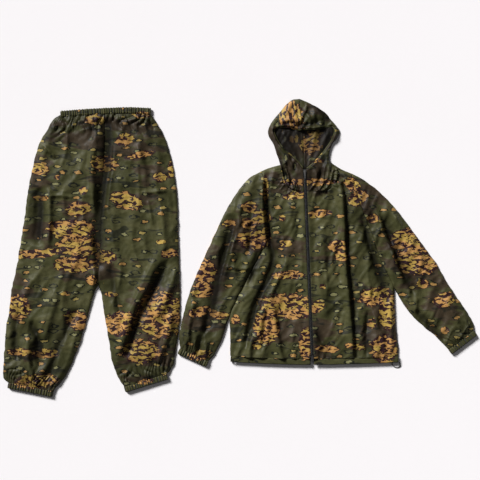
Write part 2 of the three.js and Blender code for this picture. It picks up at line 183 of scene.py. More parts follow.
class Lie:
    """How high a flattened garment's two layers are at each point of its plan."""

    def __init__(self, edges, full, grain):
        self.edges = edges
        self.full = full
        self.grain = grain  # (angle, across, along, height, seed) of long soft folds
        self.folds = []  # (path, height, width left, width right, sharpness)
        self.gathers = []  # (start, end, count, height, length, seed), inward to the left
        self.shirrs = []  # (path, count, height, length, seed) of a gathered seam
        self.seams = []  # (path, depth)
        self.lips = []  # edges of the top layer that turn down into an opening
        self.rises = []  # (path, height, half of the level strip, width) at which the top is held
        self.fine = []  # (path, reach) where small gathers need a finer mesh
        self.shade_spots = []  # ellipses where the cloth lies in soft shade
        self.lit = []  # ellipses where light falls through an opening on the back layer

    def top(self, p):
        d = np.min([near(p, e)[0] for e in self.edges], 0)
        lift = 9 + (self.full - 9) * (1 - np.exp(-d / 55))
        body = np.zeros(len(p))
        for angle, across, along, height, seed in self.grain:
            body += RELIEF * height * (creases(p, angle, across, along, seed) - 0.35)
        for path, height, left, right, sharp in self.folds:
            far, along, side = near(p, path)
            ends = np.clip(np.minimum(along, 1 - along) * 5, 0, 1)
            width = np.where(side > 0, left, right) * 0.85
            body += RELIEF * height * np.exp(-(far / width) ** sharp) * ends * (2 - ends)
        for start, end, count, height, length, seed in self.gathers:
            start, end = np.array([start, end], float)
            width = math.dist(start, end)
            u = (end - start) / width
            s = (p - start) @ u / width
            v = (p - start) @ np.array([-u[1], u[0]])
            s = 0.5 + (s - 0.5) / (1 + np.clip(v, 0, None) / (width * 1.4))
            wander = 1.7 * noise(s * count * 0.3, v / 70, seed + 3)
            reach = length * (0.55 + 0.75 * np.abs(noise(s * count * 0.45, v * 0, seed)) * 2)
            wave = np.abs(np.sin(math.pi * (count * s + wander)))
            on = (v > -30) & (s > -0.15) & (s < 1.15) & (v < length * 3)
            fade = np.exp(-(np.clip(v, 0, None) / reach) ** 1.4)
            fade *= 0.55 + 0.9 * np.abs(noise(s * count * 0.35, v * 0 + 3, seed + 9))
            body += np.where(on, height * (wave ** 0.8 - 0.62) * fade, 0)
        for path, count, height, length, seed in self.shirrs:
            far, along, side = near(p, path)
            wave = np.abs(np.sin(math.pi * (count * along + 0.8 * noise(along * 9, far / 40, seed))))
            body += height * (wave - 0.6) * np.exp(-far / length)
        for path, deep in self.seams:
            far, along, side = near(p, path)
            body += 0.9 * deep * np.exp(-((far - 4.5) / 3.0) ** 2) - 1.6 * deep * np.exp(-(far / 2.2) ** 2)
        fine = 1.8 * noise(p[:, 0] / 38, p[:, 1] / 60, 41) + 1.6 * (creases(p, 35, 34, 80, 17) - 0.4)
        fine += 1.6 * (creases(p, -50, 30, 70, 23) - 0.4)
        body = (body + fine) * np.clip(d / 20, 0.2, 1)
        z = EDGE + (lift - EDGE) * roll(d / 8) + body * roll(d / 10)
        for path, height, level, width in self.rises:
            far = near(p, path)[0]
            k = np.exp(-(np.clip(far - level, 0, None) / width) ** 2)
            z = z * (1 - k) + (height + 0.35 * body * (level == 0)) * k
        for path in self.lips:
            far = near(p, path)[0]
            z += 2.2 * np.exp(-((far - 6) / 4) ** 2) - 5.5 * np.clip(1 - far / 4, 0, 1) ** 2
        return np.clip(z, np.minimum(EDGE, 2.6 + d), TOP)

    def painted_shade(self, p):
        """How much shade is painted into the cloth's colour at each point, 0 to 1: deepest in the folds that
        go down, along the low rises and the gathers, and in the soft-shade ellipses.
        """
        deepest = np.zeros(len(p))
        for path, height, left, right, sharp in self.folds:
            if height < 0:
                far, along, side = near(p, path)
                ends = np.clip(np.minimum(along, 1 - along) * 5, 0, 1)
                width = np.where(side > 0, left, right) * 1.35
                deepest = np.maximum(deepest, np.exp(-(far / width) ** 2) * ends * min(1, -height / 6))
        for path, height, level, width in self.rises:
            if height < 9:
                deepest = np.maximum(deepest, np.exp(-(near(p, path)[0] / width / 1.3) ** 2))
        for start, end, count, height, length, seed in self.gathers:
            far = near(p, np.array([start, end], float))[0]
            deepest = np.maximum(deepest, 0.5 * np.exp(-(far / length) ** 2))
        return np.maximum(deepest, 0.5 * falloff(p, self.shade_spots))

    def shade(self, p):
        """How deep in shade the cloth seen through an opening lies: least where the light reaches it."""
        return 1 - falloff(p, self.lit)

    def bottom(self, p):
        d = np.min([near(p, e)[0] for e in self.edges], 0)
        return EDGE - (EDGE - FLOOR) * roll(d / 7)


# ---------------------------------------------------------------- meshes

def lattice(outline, spacing):
    """Staggered points over the inside of an outline, a little uneven."""
    lo, hi = outline.min(0), outline.max(0)
    rows = np.arange(lo[1], hi[1] + spacing, spacing * 0.87)
    cols = np.arange(lo[0], hi[0] + spacing, spacing)
    x, y = np.meshgrid(cols, rows)
    x = x + (np.arange(len(rows)) % 2)[:, None] * spacing / 2
    p = np.stack([x.ravel(), y.ravel()], 1)
    p += 0.16 * spacing * np.stack([noise(p[:, 0] / 3.1, p[:, 1] / 3.1, 7),
                                    noise(p[:, 0] / 2.7, p[:, 1] / 2.7, 8)], 1)
    p = p[inside(p, outline)]
    return p[near(p, np.concatenate([outline, outline[:1]]))[0] > 0.62 * spacing + 1.0]


def triangles(outline, spacing, fine=()):
    """Points over a closed outline, denser near the fine paths, and the triangles between them."""
    closed = np.concatenate([outline, outline[:1]])
    p = lattice(outline, spacing)
    if fine:
        dense = lattice(outline, spacing * 0.45)
        close = [np.min([near(q, path)[0] - reach for path, reach in fine], 0) < 0 for q in (p, dense)]
        p = np.concatenate([p[~close[0]], dense[close[1]]])
    ahead, behind = np.roll(outline, -1, 0), np.roll(outline, 1, 0)
    way = ahead - behind
    normal = np.stack([-way[:, 1], way[:, 0]], 1) / np.hypot(way[:, 0], way[:, 1])[:, None]
    shells = []
    for depth in (1.3, 3.6):
        for sign in (1, -1):
            q = outline + sign * depth * normal
            q = q[inside(q, outline)]
            if len(q):
                shells.append(q[near(q, closed)[0] > 0.85 * depth])
    verts = np.concatenate([outline, *shells, p])
    n = len(outline)
    found = geometry.delaunay_2d_cdt(
        [Vector(v) for v in verts.tolist()], [(i, (i + 1) % n) for i in range(n)],
        [list(range(n))], 1, 1e-4, False)
    points = np.array([v[:] for v in found[0]], float)
    faces = np.array([f for f in found[2] if len(f) == 3], int)
    faces = faces[inside(points[faces].mean(1), outline)]
    a, b, c = (points[faces[:, k]] for k in range(3))
    turn = (b[:, 0] - a[:, 0]) * (c[:, 1] - a[:, 1]) - (b[:, 1] - a[:, 1]) * (c[:, 0] - a[:, 0])
    faces[turn < 0] = faces[turn < 0][:, ::-1]
    return points, faces


def other_side(p):
    """Where the print's layout is read for the back of a garment."""
    return p * (-1, 1) + (34, -26)


def add(name, data):
    """A new object in the scene."""
    obj = bpy.data.objects.new(name, data)
    bpy.context.scene.collection.objects.link(obj)
    return obj


def build(name, verts, faces, smooth=True):
    """A new mesh object from its points, in metres, and its faces."""
    mesh = bpy.data.meshes.new(name)
    mesh.from_pydata([tuple(v) for v in verts], [], [tuple(int(i) for i in f) for f in faces])
    mesh.validate()
    mesh.polygons.foreach_set("use_smooth", [smooth] * len(mesh.polygons))
    return add(name, mesh)


def rework(obj, change):
    """Makes one change to an object's mesh."""
    work = bmesh.new()
    work.from_mesh(obj.data)
    change(work)
    work.to_mesh(obj.data)
    work.free()
    return obj


def outward(obj):
    """Turns every face of a closed mesh outward."""
    return rework(obj, lambda work: bmesh.ops.recalc_face_normals(work, faces=work.faces))


def tube(rows, wide, base=0):
    """The faces between rings of points that follow one another, and the two end caps."""
    faces = []
    for i in range(rows - 1):
        for j in range(wide):
            a, b = base + i * wide + j, base + i * wide + (j + 1) % wide
            faces.append((a, b, b + wide, a + wide))
    last = base + (rows - 1) * wide
    return faces + [tuple(range(base + wide - 1, base - 1, -1)), tuple(range(last, last + wide))]


def falloff(p, spots):
    """The strongest of some soft ellipses at each point: (x, y, half width, half height, angle)."""
    best = np.zeros(len(p))
    for x, y, rx, ry, *turn in spots:
        a = math.radians(turn[0] if turn else 0)
        dx, dy = p[:, 0] - x, p[:, 1] - y
        u = (dx * math.cos(a) + dy * math.sin(a)) / rx
        v = (-dx * math.sin(a) + dy * math.cos(a)) / ry
        best = np.maximum(best, np.clip(1.45 - np.sqrt(u * u + v * v), 0, 1))
    return best


def paint(obj, plan, uv, warm, brown, painted_shade=None):
    """Stores the print's layout: where its warm clusters and brown areas lie, and the cloth's own plane.
    The last argument says how far each point lies in a crease or other shaded place, as the shade that is
    painted into the colour there."""
    mesh = obj.data
    painted_shade = np.zeros(len(plan)) if painted_shade is None else painted_shade
    layers = {"warm": falloff(plan, warm), "brown": falloff(plan, brown), "painted_shade": painted_shade}
    for name, values in layers.items():
        layer = mesh.attributes.new(name, "FLOAT", "POINT")
        layer.data.foreach_set("value", values.astype(np.float32))
    corner = np.zeros(len(mesh.loops), int)
    mesh.loops.foreach_get("vertex_index", corner)
    layer = mesh.uv_layers.new(name="Cloth")
    layer.data.foreach_set("uv", (uv[corner] / 1000).astype(np.float32).ravel())


def cloth(name, at, lie, layers, warm, brown, shift, spacing, turned=False):
    """A piece of cloth from its layers, joined where their edges meet. Each is an outline with "top",
    "bottom" or the height function of a back seen through an opening."""
    verts, plan, uv, faces, painted_shade = [], [], [], [], []
    for k, (outline, which) in enumerate(layers):
        if which == "top":
            p, f = triangles(outline, spacing, lie.fine)
            z, shade, printed = lie.top(p), lie.painted_shade(p), p
        elif which == "bottom":
            p, f = triangles(outline, spacing * UNDERSIDE)
            z, shade, printed = lie.bottom(p), np.zeros(len(p)), other_side(p)
        else:
            p, f = triangles(outline, spacing)
            z, shade, printed = which(p), lie.shade(p), p + INSIDE_PRINT
        faces.append((f if which == "top" else f[:, ::-1]) + sum(len(v) for v in verts))
        verts.append(np.column_stack([p / 1000 + at, z / 1000]))
        plan.append(printed)
        painted_shade.append(shade)
        uv.append((p[:, ::-1] if turned else p) + np.array(shift) * (k + 1))
    verts, plan, uv, faces, painted_shade = (np.concatenate(v) for v in (verts, plan, uv, faces, painted_shade))
    obj = build(name, verts, faces)
    paint(obj, plan, uv, warm, brown, painted_shade)
    rework(obj, lambda work: bmesh.ops.remove_doubles(work, verts=work.verts, dist=MERGE))
    thick = obj.modifiers.new("Thickness", "SOLIDIFY")
    thick.thickness = FABRIC
    thick.offset = -1
    thick.material_offset = 1
    return obj


def band(name, at, path, depth, low, high, shell, count, ripple, ends, steps=3.0):
    """A flattened tube of cloth standing on a mouth: its front and back strips and the folds at its ends.
    path runs along the mouth with the garment on its left; shell is (outer, inner) offset in mm; ends says
    which ends are folds and not cut."""
    path = line(*path, step=steps)
    tangent = np.gradient(path, axis=0)
    tangent /= np.hypot(tangent[:, 0], tangent[:, 1])[:, None]
    normal = np.stack([-tangent[:, 1], tangent[:, 0]], 1)
    middle, half = (low + high) / 2, (high - low) / 2
    flat = np.zeros(2)
    loop = [(path[i], normal[i], 0.0, 1.0, high, flat) for i in range(len(path))]

    def fold(i, sign):
        out = []
        for k in range(1, 6):
            a = math.pi * k / 6
            along, up = math.sin(a), sign * math.cos(a)
            out.append((path[i] + tangent[i] * sign * (along * half * 0.7), normal[i],
                        along * sign, up, middle + up * half, tangent[i]))
        return out

    if ends[1]:
        loop += fold(len(path) - 1, 1)
    loop += [(path[i], normal[i], 0.0, -1.0, low, flat) for i in range(len(path) - 1, -1, -1)]
    if ends[0]:
        loop += fold(0, -1)
    whole = ends[0] and ends[1]
    across = [(v, shell[0]) for v in np.linspace(0, 1, 8)] + [(v, shell[1]) for v in (0.96, 0.5, 0.04)]
    verts, plan, uv = [], [], []
    run = 0.0
    for i, (place, inward, side, up, z, way) in enumerate(loop):
        if i:
            run += math.dist((*place, z), (*loop[i - 1][0], loop[i - 1][4]))
        wander = 1.3 * float(noise(np.array([run / 9.0]), np.array([0.5]), 1)[0])
        wave = abs(math.sin(math.pi * run * count + wander))
        for v, offset in across:
            puff = math.sin(math.pi * min(max(v, 0.0), 1.0)) ** 0.6
            swell = offset * (0.45 + 0.55 * puff)
            if offset > 0:
                swell += ripple * (wave - 0.6) * (1.0 if v > 0.04 else 0.7)
            frill = ripple * 0.7 * (wave - 0.5) if v < 0.1 and offset > 0 else 0.0
            q = place + inward * (v * depth + frill) + way * side * swell
            verts.append((*(q / 1000 + at), max((z + up * swell) / 1000, 0.0003)))
            plan.append(q if up >= 0 else other_side(q))
            uv.append((run * (1.6 if count else 1.0), v * depth * 1.1 + 40 * (offset < 0)))
    wide, many = len(across), len(loop)
    faces = []
    for i in range(many if whole else many - 1):
        for j in range(wide):
            a, b = i * wide + j, i * wide + (j + 1) % wide
            c, d = ((i + 1) % many) * wide + (j + 1) % wide, ((i + 1) % many) * wide + j
            faces.append((a, d, c, b))
    if not whole:
        faces += [tuple(range(wide)), tuple((many - 1) * wide + j for j in reversed(range(wide)))]
    return outward(build(name, verts, faces)), np.array(plan), np.array(uv)


def dashes(name, at, paths, height, stitch=2.6, gap=1.3, radius=0.28):
    """Rows of thread stitches lying on the cloth."""
    verts, faces = [], []
    for path in paths:
        length = np.concatenate(([0], np.cumsum(np.hypot(*np.diff(path, axis=0).T))))
        starts = np.arange(gap, length[-1] - stitch, stitch + gap)
        ends = [np.stack([np.interp(starts + k, length, path[:, c]) for c in (0, 1)], 1)
                for k in (0, stitch / 2, stitch)]
        zs = [height(e) for e in ends]
        for i in range(len(starts)):
            base = len(verts)
            way = ends[2][i] - ends[0][i]
            across = np.array([-way[1], way[0]]) / (math.hypot(*way) + 1e-9)
            for k, lift in ((0, 0.0), (1, 0.55), (2, 0.0)):
                for dx, dz in ((-1, 0), (0, 1), (1, 0), (0, -1)):
                    q = ends[k][i] + across * dx * radius
                    verts.append((*(q / 1000 + at), (zs[k][i] + lift * 0.6 + dz * radius) / 1000))
            faces += tube(3, 4, base)
    return build(name, verts, faces)


# ---------------------------------------------------------------- materials

class Shader:
    """A node material, built from small steps."""

    def __init__(self, name):
        self.material = bpy.data.materials.new(name)
        self.material.use_nodes = True
        self.nodes = self.material.node_tree.nodes
        self.nodes.clear()
        self.out = self.add("ShaderNodeOutputMaterial")
        self.bsdf = self.add("ShaderNodeBsdfPrincipled")
        self.link(self.bsdf.outputs[0], self.out.inputs[0])

    def link(self, a, b):
        self.material.node_tree.links.new(a, b)

    def add(self, kind, values=(), **settings):
        node = self.nodes.new(kind)
        for key, value in settings.items():
            setattr(node, key, value)
        for key, value in dict(values).items():
            if isinstance(value, bpy.types.NodeSocket):
                self.link(value, node.inputs[key])
            else:
                node.inputs[key].default_value = value
        return node

    def place(self, stretch=(1, 1, 1), layer="Cloth"):
        source = (self.add("ShaderNodeUVMap", uv_map=layer).outputs[0] if layer
                  else self.add("ShaderNodeTexCoord").outputs["Object"])
        return self.vector(source, stretch)

    def vector(self, at, by, how="MULTIPLY"):
        return self.add("ShaderNodeVectorMath", {0: at, 1: by}, operation=how).outputs[0]

    def noise(self, at, scale, detail=2.0, rough=0.5, bend=0.0, kind="FBM", dims="2D"):
        node = self.add("ShaderNodeTexNoise", {"Vector": at, "Scale": scale, "Detail": detail,
                                               "Roughness": rough, "Distortion": bend},
                        noise_type=kind, noise_dimensions=dims)
        return node.outputs[0]

    def sum(self, *terms):
        """a*k + b*l + ... from (socket, factor) pairs and plain numbers."""
        total = None
        for term in terms:
            if isinstance(term, tuple):
                term = self.add("ShaderNodeMath", {0: term[0], 1: term[1]}, operation="MULTIPLY").outputs[0]
            total = term if total is None else self.add(
                "ShaderNodeMath", {0: total, 1: term}, operation="ADD").outputs[0]
        return total

    def times(self, a, b):
        return self.add("ShaderNodeMath", {0: a, 1: b}, operation="MULTIPLY").outputs[0]

    def step(self, value, low, high, top=1.0, bottom=0.0):
        node = self.add("ShaderNodeMapRange", {0: value, 1: low, 2: high, 3: bottom, 4: top},
                        interpolation_type="SMOOTHSTEP")
        return node.outputs[0]

    def mix(self, a, b, how, blend="MIX"):
        node = self.add("ShaderNodeMix", data_type="RGBA", blend_type=blend)
        for socket, value in ((node.inputs[0], how), (node.inputs[6], a), (node.inputs[7], b)):
            if isinstance(value, bpy.types.NodeSocket):
                self.link(value, socket)
            elif isinstance(value, (int, float)):
                socket.default_value = value
            else:
                socket.default_value = (*value[:3], 1)
        return node.outputs[2]

    def bump(self, height, strength, distance, after=None):
        values = {"Height": height, "Strength": strength, "Distance": distance}
        if after is not None:
            values["Normal"] = after
        return self.add("ShaderNodeBump", values).outputs[0]

    def finish(self, **values):
        for key, value in values.items():
            socket = self.bsdf.inputs[key.replace("_", " ")]
            if isinstance(value, bpy.types.NodeSocket):
                self.link(value, socket)
            else:
                socket.default_value = value
        return self.material


def weave(shader, pitch, layer="Cloth"):
    """Threads crossing over and under, as a height."""
    scale = 0.314 / pitch
    at = shader.place(layer=layer)
    values = {"Vector": at, "Scale": scale, "Distortion": 0.4}
    one, two = (shader.add("ShaderNodeTexWave", values, bands_direction=way).outputs[1] for way in "XY")
    return shader.times(one, two)


def camouflage(name, settings, shade=1.0, seed=0.0):
    s = Shader(name)
    flat = s.vector(s.place(), (seed, seed * 0.7, 0), "ADD")
    wide = s.vector(flat, (0.5, 1, 1))
    long = s.vector(flat, (0.3, 1, 1))
    warm = s.add("ShaderNodeAttribute", attribute_name="warm").outputs["Fac"]
    brown = s.add("ShaderNodeAttribute", attribute_name="brown").outputs["Fac"]
    rag = s.noise(wide, 130, 1.5, 0.6, 0.3)
    soft = s.noise(long, 15, 3, 0.55, 0.2)
    blotch = s.noise(wide, 27, 2, 0.6, 0.5)
    color = s.mix(settings.olive, settings.leaf, s.step(soft, 0.42, 0.60))
    earth = s.sum((brown, 0.30), (soft, 1.1), (blotch, 0.35))
    color = s.mix(color, settings.brown, s.step(earth, 0.87, 0.99, 0.95))
    color = s.mix(color, settings.deep, s.step(s.noise(long, 30, 2, 0.5, 0.5), 0.60, 0.67, 0.75))
    spot = s.add("ShaderNodeTexVoronoi", {"Vector": s.vector(flat, (0.45, 1, 1)), "Scale": 31,
                                          "Randomness": 0.85}, voronoi_dimensions="2D")
    tint = s.add("ShaderNodeSeparateColor", {0: spot.outputs["Color"]})
    size = s.sum((spot.outputs["Distance"], 1.0), (rag, 0.36), -0.18, (tint.outputs[2], 0.09))
    ringed = s.step(tint.outputs[0], 0.16, 0.18)
    there = s.step(tint.outputs[0], 0.34, 0.36)
    color = s.mix(color, settings.deep, s.times(ringed, s.step(size, 0.295, 0.27, 0.97)))
    color = s.mix(color, settings.leaf, s.times(ringed, s.step(size, 0.19, 0.17, 0.85)))
    pale = s.mix(settings.pale, settings.yellow, s.step(tint.outputs[1], 0.40, 0.42, 0.7))
    pale = s.mix(pale, settings.tan, s.step(tint.outputs[1], 0.66, 0.68, 0.9))
    color = s.mix(color, pale, s.times(there, s.step(size, 0.19, 0.17, 0.75)))
    lobes = s.noise(wide, 80, 2.2, 0.6, 0.5)
    mass = s.step(warm, 0.0, 0.6)
    level = s.sum((lobes, 1.15), -0.075, (mass, 0.385), (rag, 0.2), -0.1)
    fringe = s.step(s.sum((level, 1.0), (mass, 0.2)), 0.80, 0.86, 0.95)
    color = s.mix(color, settings.plum, s.times(fringe, s.step(mass, 0.05, 0.2)))
    glow = s.mix(settings.tan, settings.yellow, s.step(s.noise(wide, 19, 2, 0.5, 0.2), 0.48, 0.56, 0.85))
    color = s.mix(color, glow, s.step(level, 0.868, 0.888))
    fade = s.noise(flat, 90, 4, 0.7)
    color = s.mix(color, (0, 0, 0), s.step(fade, 0.2, 0.8, 0.0, 0.22))
    # Painted shade: the colour is darkened towards near black in the creases, beside the casings and gathers,
    # in the soft-shade ellipses and on the hood's back away from the light through its opening.
    painted_shade = s.add("ShaderNodeAttribute", attribute_name="painted_shade").outputs["Fac"]
    color = s.mix(color, s.mix(color, (0.09, 0.085, 0.08), 1.0, "MULTIPLY"), s.times(painted_shade, 0.92))
    if shade != 1.0:
        color = s.mix((0.007, 0.006, 0.005), color, shade)
    crumple = s.noise(s.place((1, 0.7, 1)), 17, 5, 0.6, 0.6)
    ridge = s.noise(s.place((1.0, 0.6, 1)), 23, 3, 0.55, 0.4, kind="RIDGED_MULTIFRACTAL")
    normal = s.bump(crumple, 0.4, 0.005)
    normal = s.bump(ridge, 0.2, 0.0015, normal)
    normal = s.bump(weave(s, 0.0006), 0.25, 0.0002, normal)
    rough = s.step(crumple, 0.3, 0.7, 0.56, 0.46)
    return s.finish(Base_Color=color, Roughness=rough, Normal=normal, Specular_IOR_Level=0.17)


def plain(name, color, rough=0.6, metal=0.0, grain=900.0, depth=0.0002, vary=0.25, specular=0.5):
    s = Shader(name)
    at = s.place(layer=None)
    fleck = s.noise(at, grain, 3, 0.6, dims="3D")
    cloud = s.noise(at, grain / 14, 3, 0.6, dims="3D")
    base = s.mix(color, [c * (1 - vary) for c in color[:3]], s.step(cloud, 0.35, 0.65))
    base = s.mix(base, [min(1, c * (1 + vary)) for c in color[:3]], s.step(fleck, 0.5, 0.75))
    return s.finish(Base_Color=base, Roughness=s.step(cloud, 0.3, 0.7, rough + 0.06, rough - 0.06),
                    Metallic=metal, Normal=s.bump(fleck, 0.4, depth), Specular_IOR_Level=specular)


def webbing(name, color, pitch):
    """Ribbed tape or knitted elastic."""
    s = Shader(name)
    at = s.place(layer=None)
    rib = s.add("ShaderNodeTexWave", {"Vector": at, "Scale": 0.314 / pitch, "Distortion": 0.8,
                                      "Detail": 1.0}, bands_direction="Y")
    rib = rib.outputs[1]
    cross = s.noise(at, 0.7 / pitch, 2, 0.5, dims="3D")
    # Painted shade: the colour darkens to six tenths in the grooves between the ribs, where the bump is
    # lowest.
    base = s.mix([c * 0.6 for c in color[:3]], color, s.step(rib, 0.2, 0.8))
    base = s.mix(base, [c * 1.4 for c in color[:3]], s.step(cross, 0.55, 0.7, 0.5))
    return s.finish(Base_Color=base, Roughness=0.8, Normal=s.bump(rib, 0.5, pitch / 3),
                    Specular_IOR_Level=0.25)


# ---------------------------------------------------------------- the cut of the trousers, in mm

FORK = (-27, -682)
CENTRE = line((0, -22), FORK)
LEG_OUT = {
    "right": line((-176, -20), (-205, -39), (-232, -86), (-259, -133), (-279, -203), (-294, -273),
                  (-306, -343), (-318, -437), (-333, -530), (-349, -624), (-365, -694), (-376, -788),
                  (-388, -850), (-394, -940), (-399, -1015), (-397, -1045), (-380, -1061)),
    "left": line((176, -16), (193, -39), (220, -86), (240, -133), (259, -203), (275, -296), (282, -390),
                 (284, -500), (288, -600), (291, -720), (290, -820), (283, -881), (273, -940), (268, -985),
                 (250, -1018), (238, -1027)),
}
LEG_IN = {
    "right": line(FORK, (-45, -718), (-64, -788), (-84, -858), (-107, -928), (-135, -998), (-160, -1045),
                  (-203, -1094)),
    "left": line(FORK, (-16, -718), (-6, -788), (10, -881), (25, -975), (41, -1022), (58, -1058),
                 (75, -1077)),
}
LEG_OUT, LEG_IN = ({side: wavy(path) for side, path in edge.items()} for edge in (LEG_OUT, LEG_IN))
ANKLE = {"right": ((-381, -1083), (-207, -1118)), "left": ((80, -1100), (245, -1049))}
WAIST = {"right": ((-176, -6), (-90, 1), (0, 6)), "left": ((0, 6), (90, 9), (176, 6))}
CASING = 23.0

TROUSER_WARM = [
    (-40, -39, 36, 21), (140, -21, 31, 13), (75, -117, 35, 22, 20), (137, -176, 55, 12, 12),
    (-263, -231, 23, 42, 80), (-1, -211, 49, 29), (213, -263, 26, 17), (257, -234, 13, 34),
    (85, -354, 60, 31, -15), (-84, -315, 16, 16), (-250, -344, 31, 10), (-105, -387, 42, 26, 10),
    (-131, -465, 86, 34), (-101, -530, 81, 36), (-114, -601, 78, 29), (-263, -559, 91, 16, 5),
    (3, -572, 23, 39, 80), (250, -559, 31, 16, 10), (-339, -770, 44, 47), (-105, -822, 34, 52, 70),
    (-151, -715, 18, 8), (-333, -942, 47, 14), (-235, -949, 49, 17), (-270, -1056, 75, 26, 5),
    (57, -832, 70, 42, 10), (214, -798, 84, 84, 15), (140, -939, 70, 42), (23, -718, 26, 9),
    (159, -1056, 29, 10, 10), (218, -514, 18, 9), (-185, -263, 13, 8), (-53, -663, 21, 18),
]
TROUSER_BROWN = [
    (153, -351, 91, 31), (10, -260, 78, 39), (179, -247, 91, 39), (205, -728, 117, 91),
    (-341, -702, 78, 52), (-263, -247, 52, 78), (-94, -624, 117, 52), (127, -962, 143, 78),
    (-120, -416, 78, 52), (-250, -481, 91, 52), (101, -156, 117, 65), (-224, -1066, 143, 39),
    (-70, -110, 110, 45), (30, -60, 150, 30), (-190, -70, 50, 60),
]


def trouser_lie(side, settings):
    right = side == "right"
    grain = [(84 if right else 95, 92, 300, 3.0, 3 if right else 4),
             (66 if right else 104, 52, 150, 1.1, 9)]
    lie = Lie([LEG_OUT[side], LEG_IN[side]], settings.loft * 1000, grain)
    gather = settings.gather
    ankle = ANKLE[side]
    up = np.array([-(ankle[1][1] - ankle[0][1]), ankle[1][0] - ankle[0][0]], float)
    up *= CASING / math.hypot(*up)
    a, b = np.array(ankle[0]) + up, np.array(ankle[1]) + up
    lie.gathers = [(a, b, 13, 11 * gather, 60, 5), (a, b, 7, 9 * gather, 120, 6),
                   ((180, -18), (-180, -18), 30, 10 * gather, 40, 8),
                   ((180, -18), (-180, -18), 11, 14 * gather, 88, 12)]
    lie.rises = [(line(WAIST[side][0], WAIST[side][-1]) - (0, 22), 12, 0, 13), (line(a, b), 12, 0, 13),
                 (line((10, -60), (14, -137), (8, -218), (-6, -300), (-24, -468), (-27, -600)), 5, 6, 20)]
    lie.fine = [(line((-176, -20), (176, -14)), 66), (line(a, b), 60)]
    lie.shade_spots = [(0, -50, 190, 46), (6, -230, 22, 190), (-22, -520, 15, 140), (-216, -80, 30, 60)]
    if right:
        lie.folds = [
            (line((-30, -80), (-55, -190), (-48, -320), (-36, -420)), 6, 16, 9, 1.6),
            (line((-256, -300), (-252, -400), (-262, -530)), -8, 14, 20, 1.5),
            (line((-216, -300), (-214, -420), (-222, -540)), 5, 12, 16, 1.6),
            (line((-290, -820), (-262, -900), (-252, -1000)), -7, 14, 16, 1.5),
            (line((-243, -137), (-205, -176), (-198, -190)), 4, 8, 4, 1.4),
            (line((-271, -335), (-200, -333), (-130, -338), (-107, -356)), 3.2, 3, 8, 1.3),
            (line((-60, -480), (-40, -560), (-44, -690)), 5, 14, 10, 1.6),
            (line((-100, -760), (-150, -860), (-200, -980), (-215, -1060)), -5, 10, 22, 1.5),
            (line((-330, -760), (-350, -880), (-340, -1000)), -4, 12, 16, 1.6),
            (line((-300, -880), (-300, -960), (-280, -1050)), 6, 14, 12, 1.6),
            (line((-180, -700), (-210, -800), (-240, -900)), 4, 18, 22, 1.7),
        ]
        lie.seams = [(line((-244, -137), (-205, -180)), 0.8)]
    else:
        lie.folds = [
            (line((30, -120), (26, -220), (12, -330), (2, -420)), 7, 10, 15, 1.6),
            (line((138, -320), (190, -318), (244, -312)), 3.4, 3, 8, 1.3),
            (line((165, -351), (175, -400), (185, -449)), 3, 8, 5, 1.5),
            (line((200, -570), (150, -680), (98, -790), (66, -900), (52, -960)), 7, 22, 14, 1.7),
            (line((246, -580), (196, -690), (138, -800), (100, -900), (80, -970)), -8, 15, 17, 1.6),
            (line((284, -610), (240, -720), (190, -820)), 5, 20, 18, 1.7),
            (line((20, -600), (40, -700), (60, -800)), -4, 10, 18, 1.6),
            (line((262, -780), (240, -880), (200, -990)), 6, 14, 16, 1.6),
            (line((120, -130), (150, -220), (160, -300)), 3.5, 14, 18, 1.7),
            (line((215, -380), (228, -480), (225, -560)), 4, 20, 16, 1.7),
        ]
        lie.seams = [(line((168, -130), (196, -176)), 0.8)]
    lie.seams.append((line((0, -22), (-12, -300)), 0.8))
    return lie, a, b


# ---------------------------------------------------------------- the cut of the jacket, in mm

ARMHOLE = {
    "right": line((-168, -25), (-146, -105), (-137, -246), (-150, -316), (-164, -332)),
    "left": line((187, -35), (218, -156), (250, -238), (296, -367), (328, -433), (350, -482)),
}
SHOULDER = {
    "right": line((-94, 0), (-137, -12), (-168, -25)),
    "left": line((119, -2), (150, -20), (187, -35)),
}
ARM_OUT = {
    "right": line((-168, -25), (-222, -58), (-277, -129), (-316, -199), (-359, -292), (-402, -386),
                  (-441, -480), (-466, -560), (-483, -640), (-488, -690), (-482, -714)),
    "left": line((187, -35), (230, -58), (292, -105), (359, -175), (413, -246), (464, -316), (515, -386),
                 (554, -456), (601, -526), (643, -590), (660, -625), (656, -646)),
}
ARM_IN = {
    "right": line((-164, -332), (-226, -452), (-287, -577), (-318, -672), (-350, -738), (-373, -764)),
    "left": line((350, -482), (388, -546), (425, -593), (468, -632), (511, -667), (542, -700), (561, -718)),
}
SIDE_SEAM = {
    "right": line((-164, -332), (-226, -452), (-287, -577), (-289, -660), (-289, -744)),
    "left": line((350, -482), (353, -560), (357, -640), (364, -700), (366, -746)),
}
ARM_OUT, ARM_IN, SIDE_SEAM = (
    {side: wavy(path, 1.9) for side, path in edge.items()} for edge in (ARM_OUT, ARM_IN, SIDE_SEAM))
CUFF = {"right": ((-493, -736), (-384, -786)), "left": ((575, -737), (671, -664))}
HEM = line((-289, -767), (-130, -775), (31, -778), (200, -775), (367, -769))
ZIP_TOP, ZIP_END = (0, -16), (30, -768)
NECK = {
    "right": line((-94, 0), (-86, -40), (-74, -78), (-39, -98), (-4, -104)),
    "left": line((119, -2), (131, -39), (101, -90), (60, -102), (11, -104)),
}
HOOD_OUT = {
    "right": line((-94, 0), (-105, 35), (-113, 58), (-121, 82), (-137, 105), (-141, 129), (-136, 152),
                  (-121, 175), (-101, 199), (-76, 228), (-50, 252), (-19, 257)),
    "left": line((119, -2), (101, 14), (97, 35), (101, 58), (109, 82), (129, 105), (138, 129), (125, 152),
                 (103, 175), (86, 199), (55, 222), (10, 245), (-19, 257)),
}
HOOD_OUT = {side: wavy(path, 1.6) for side, path in HOOD_OUT.items()}
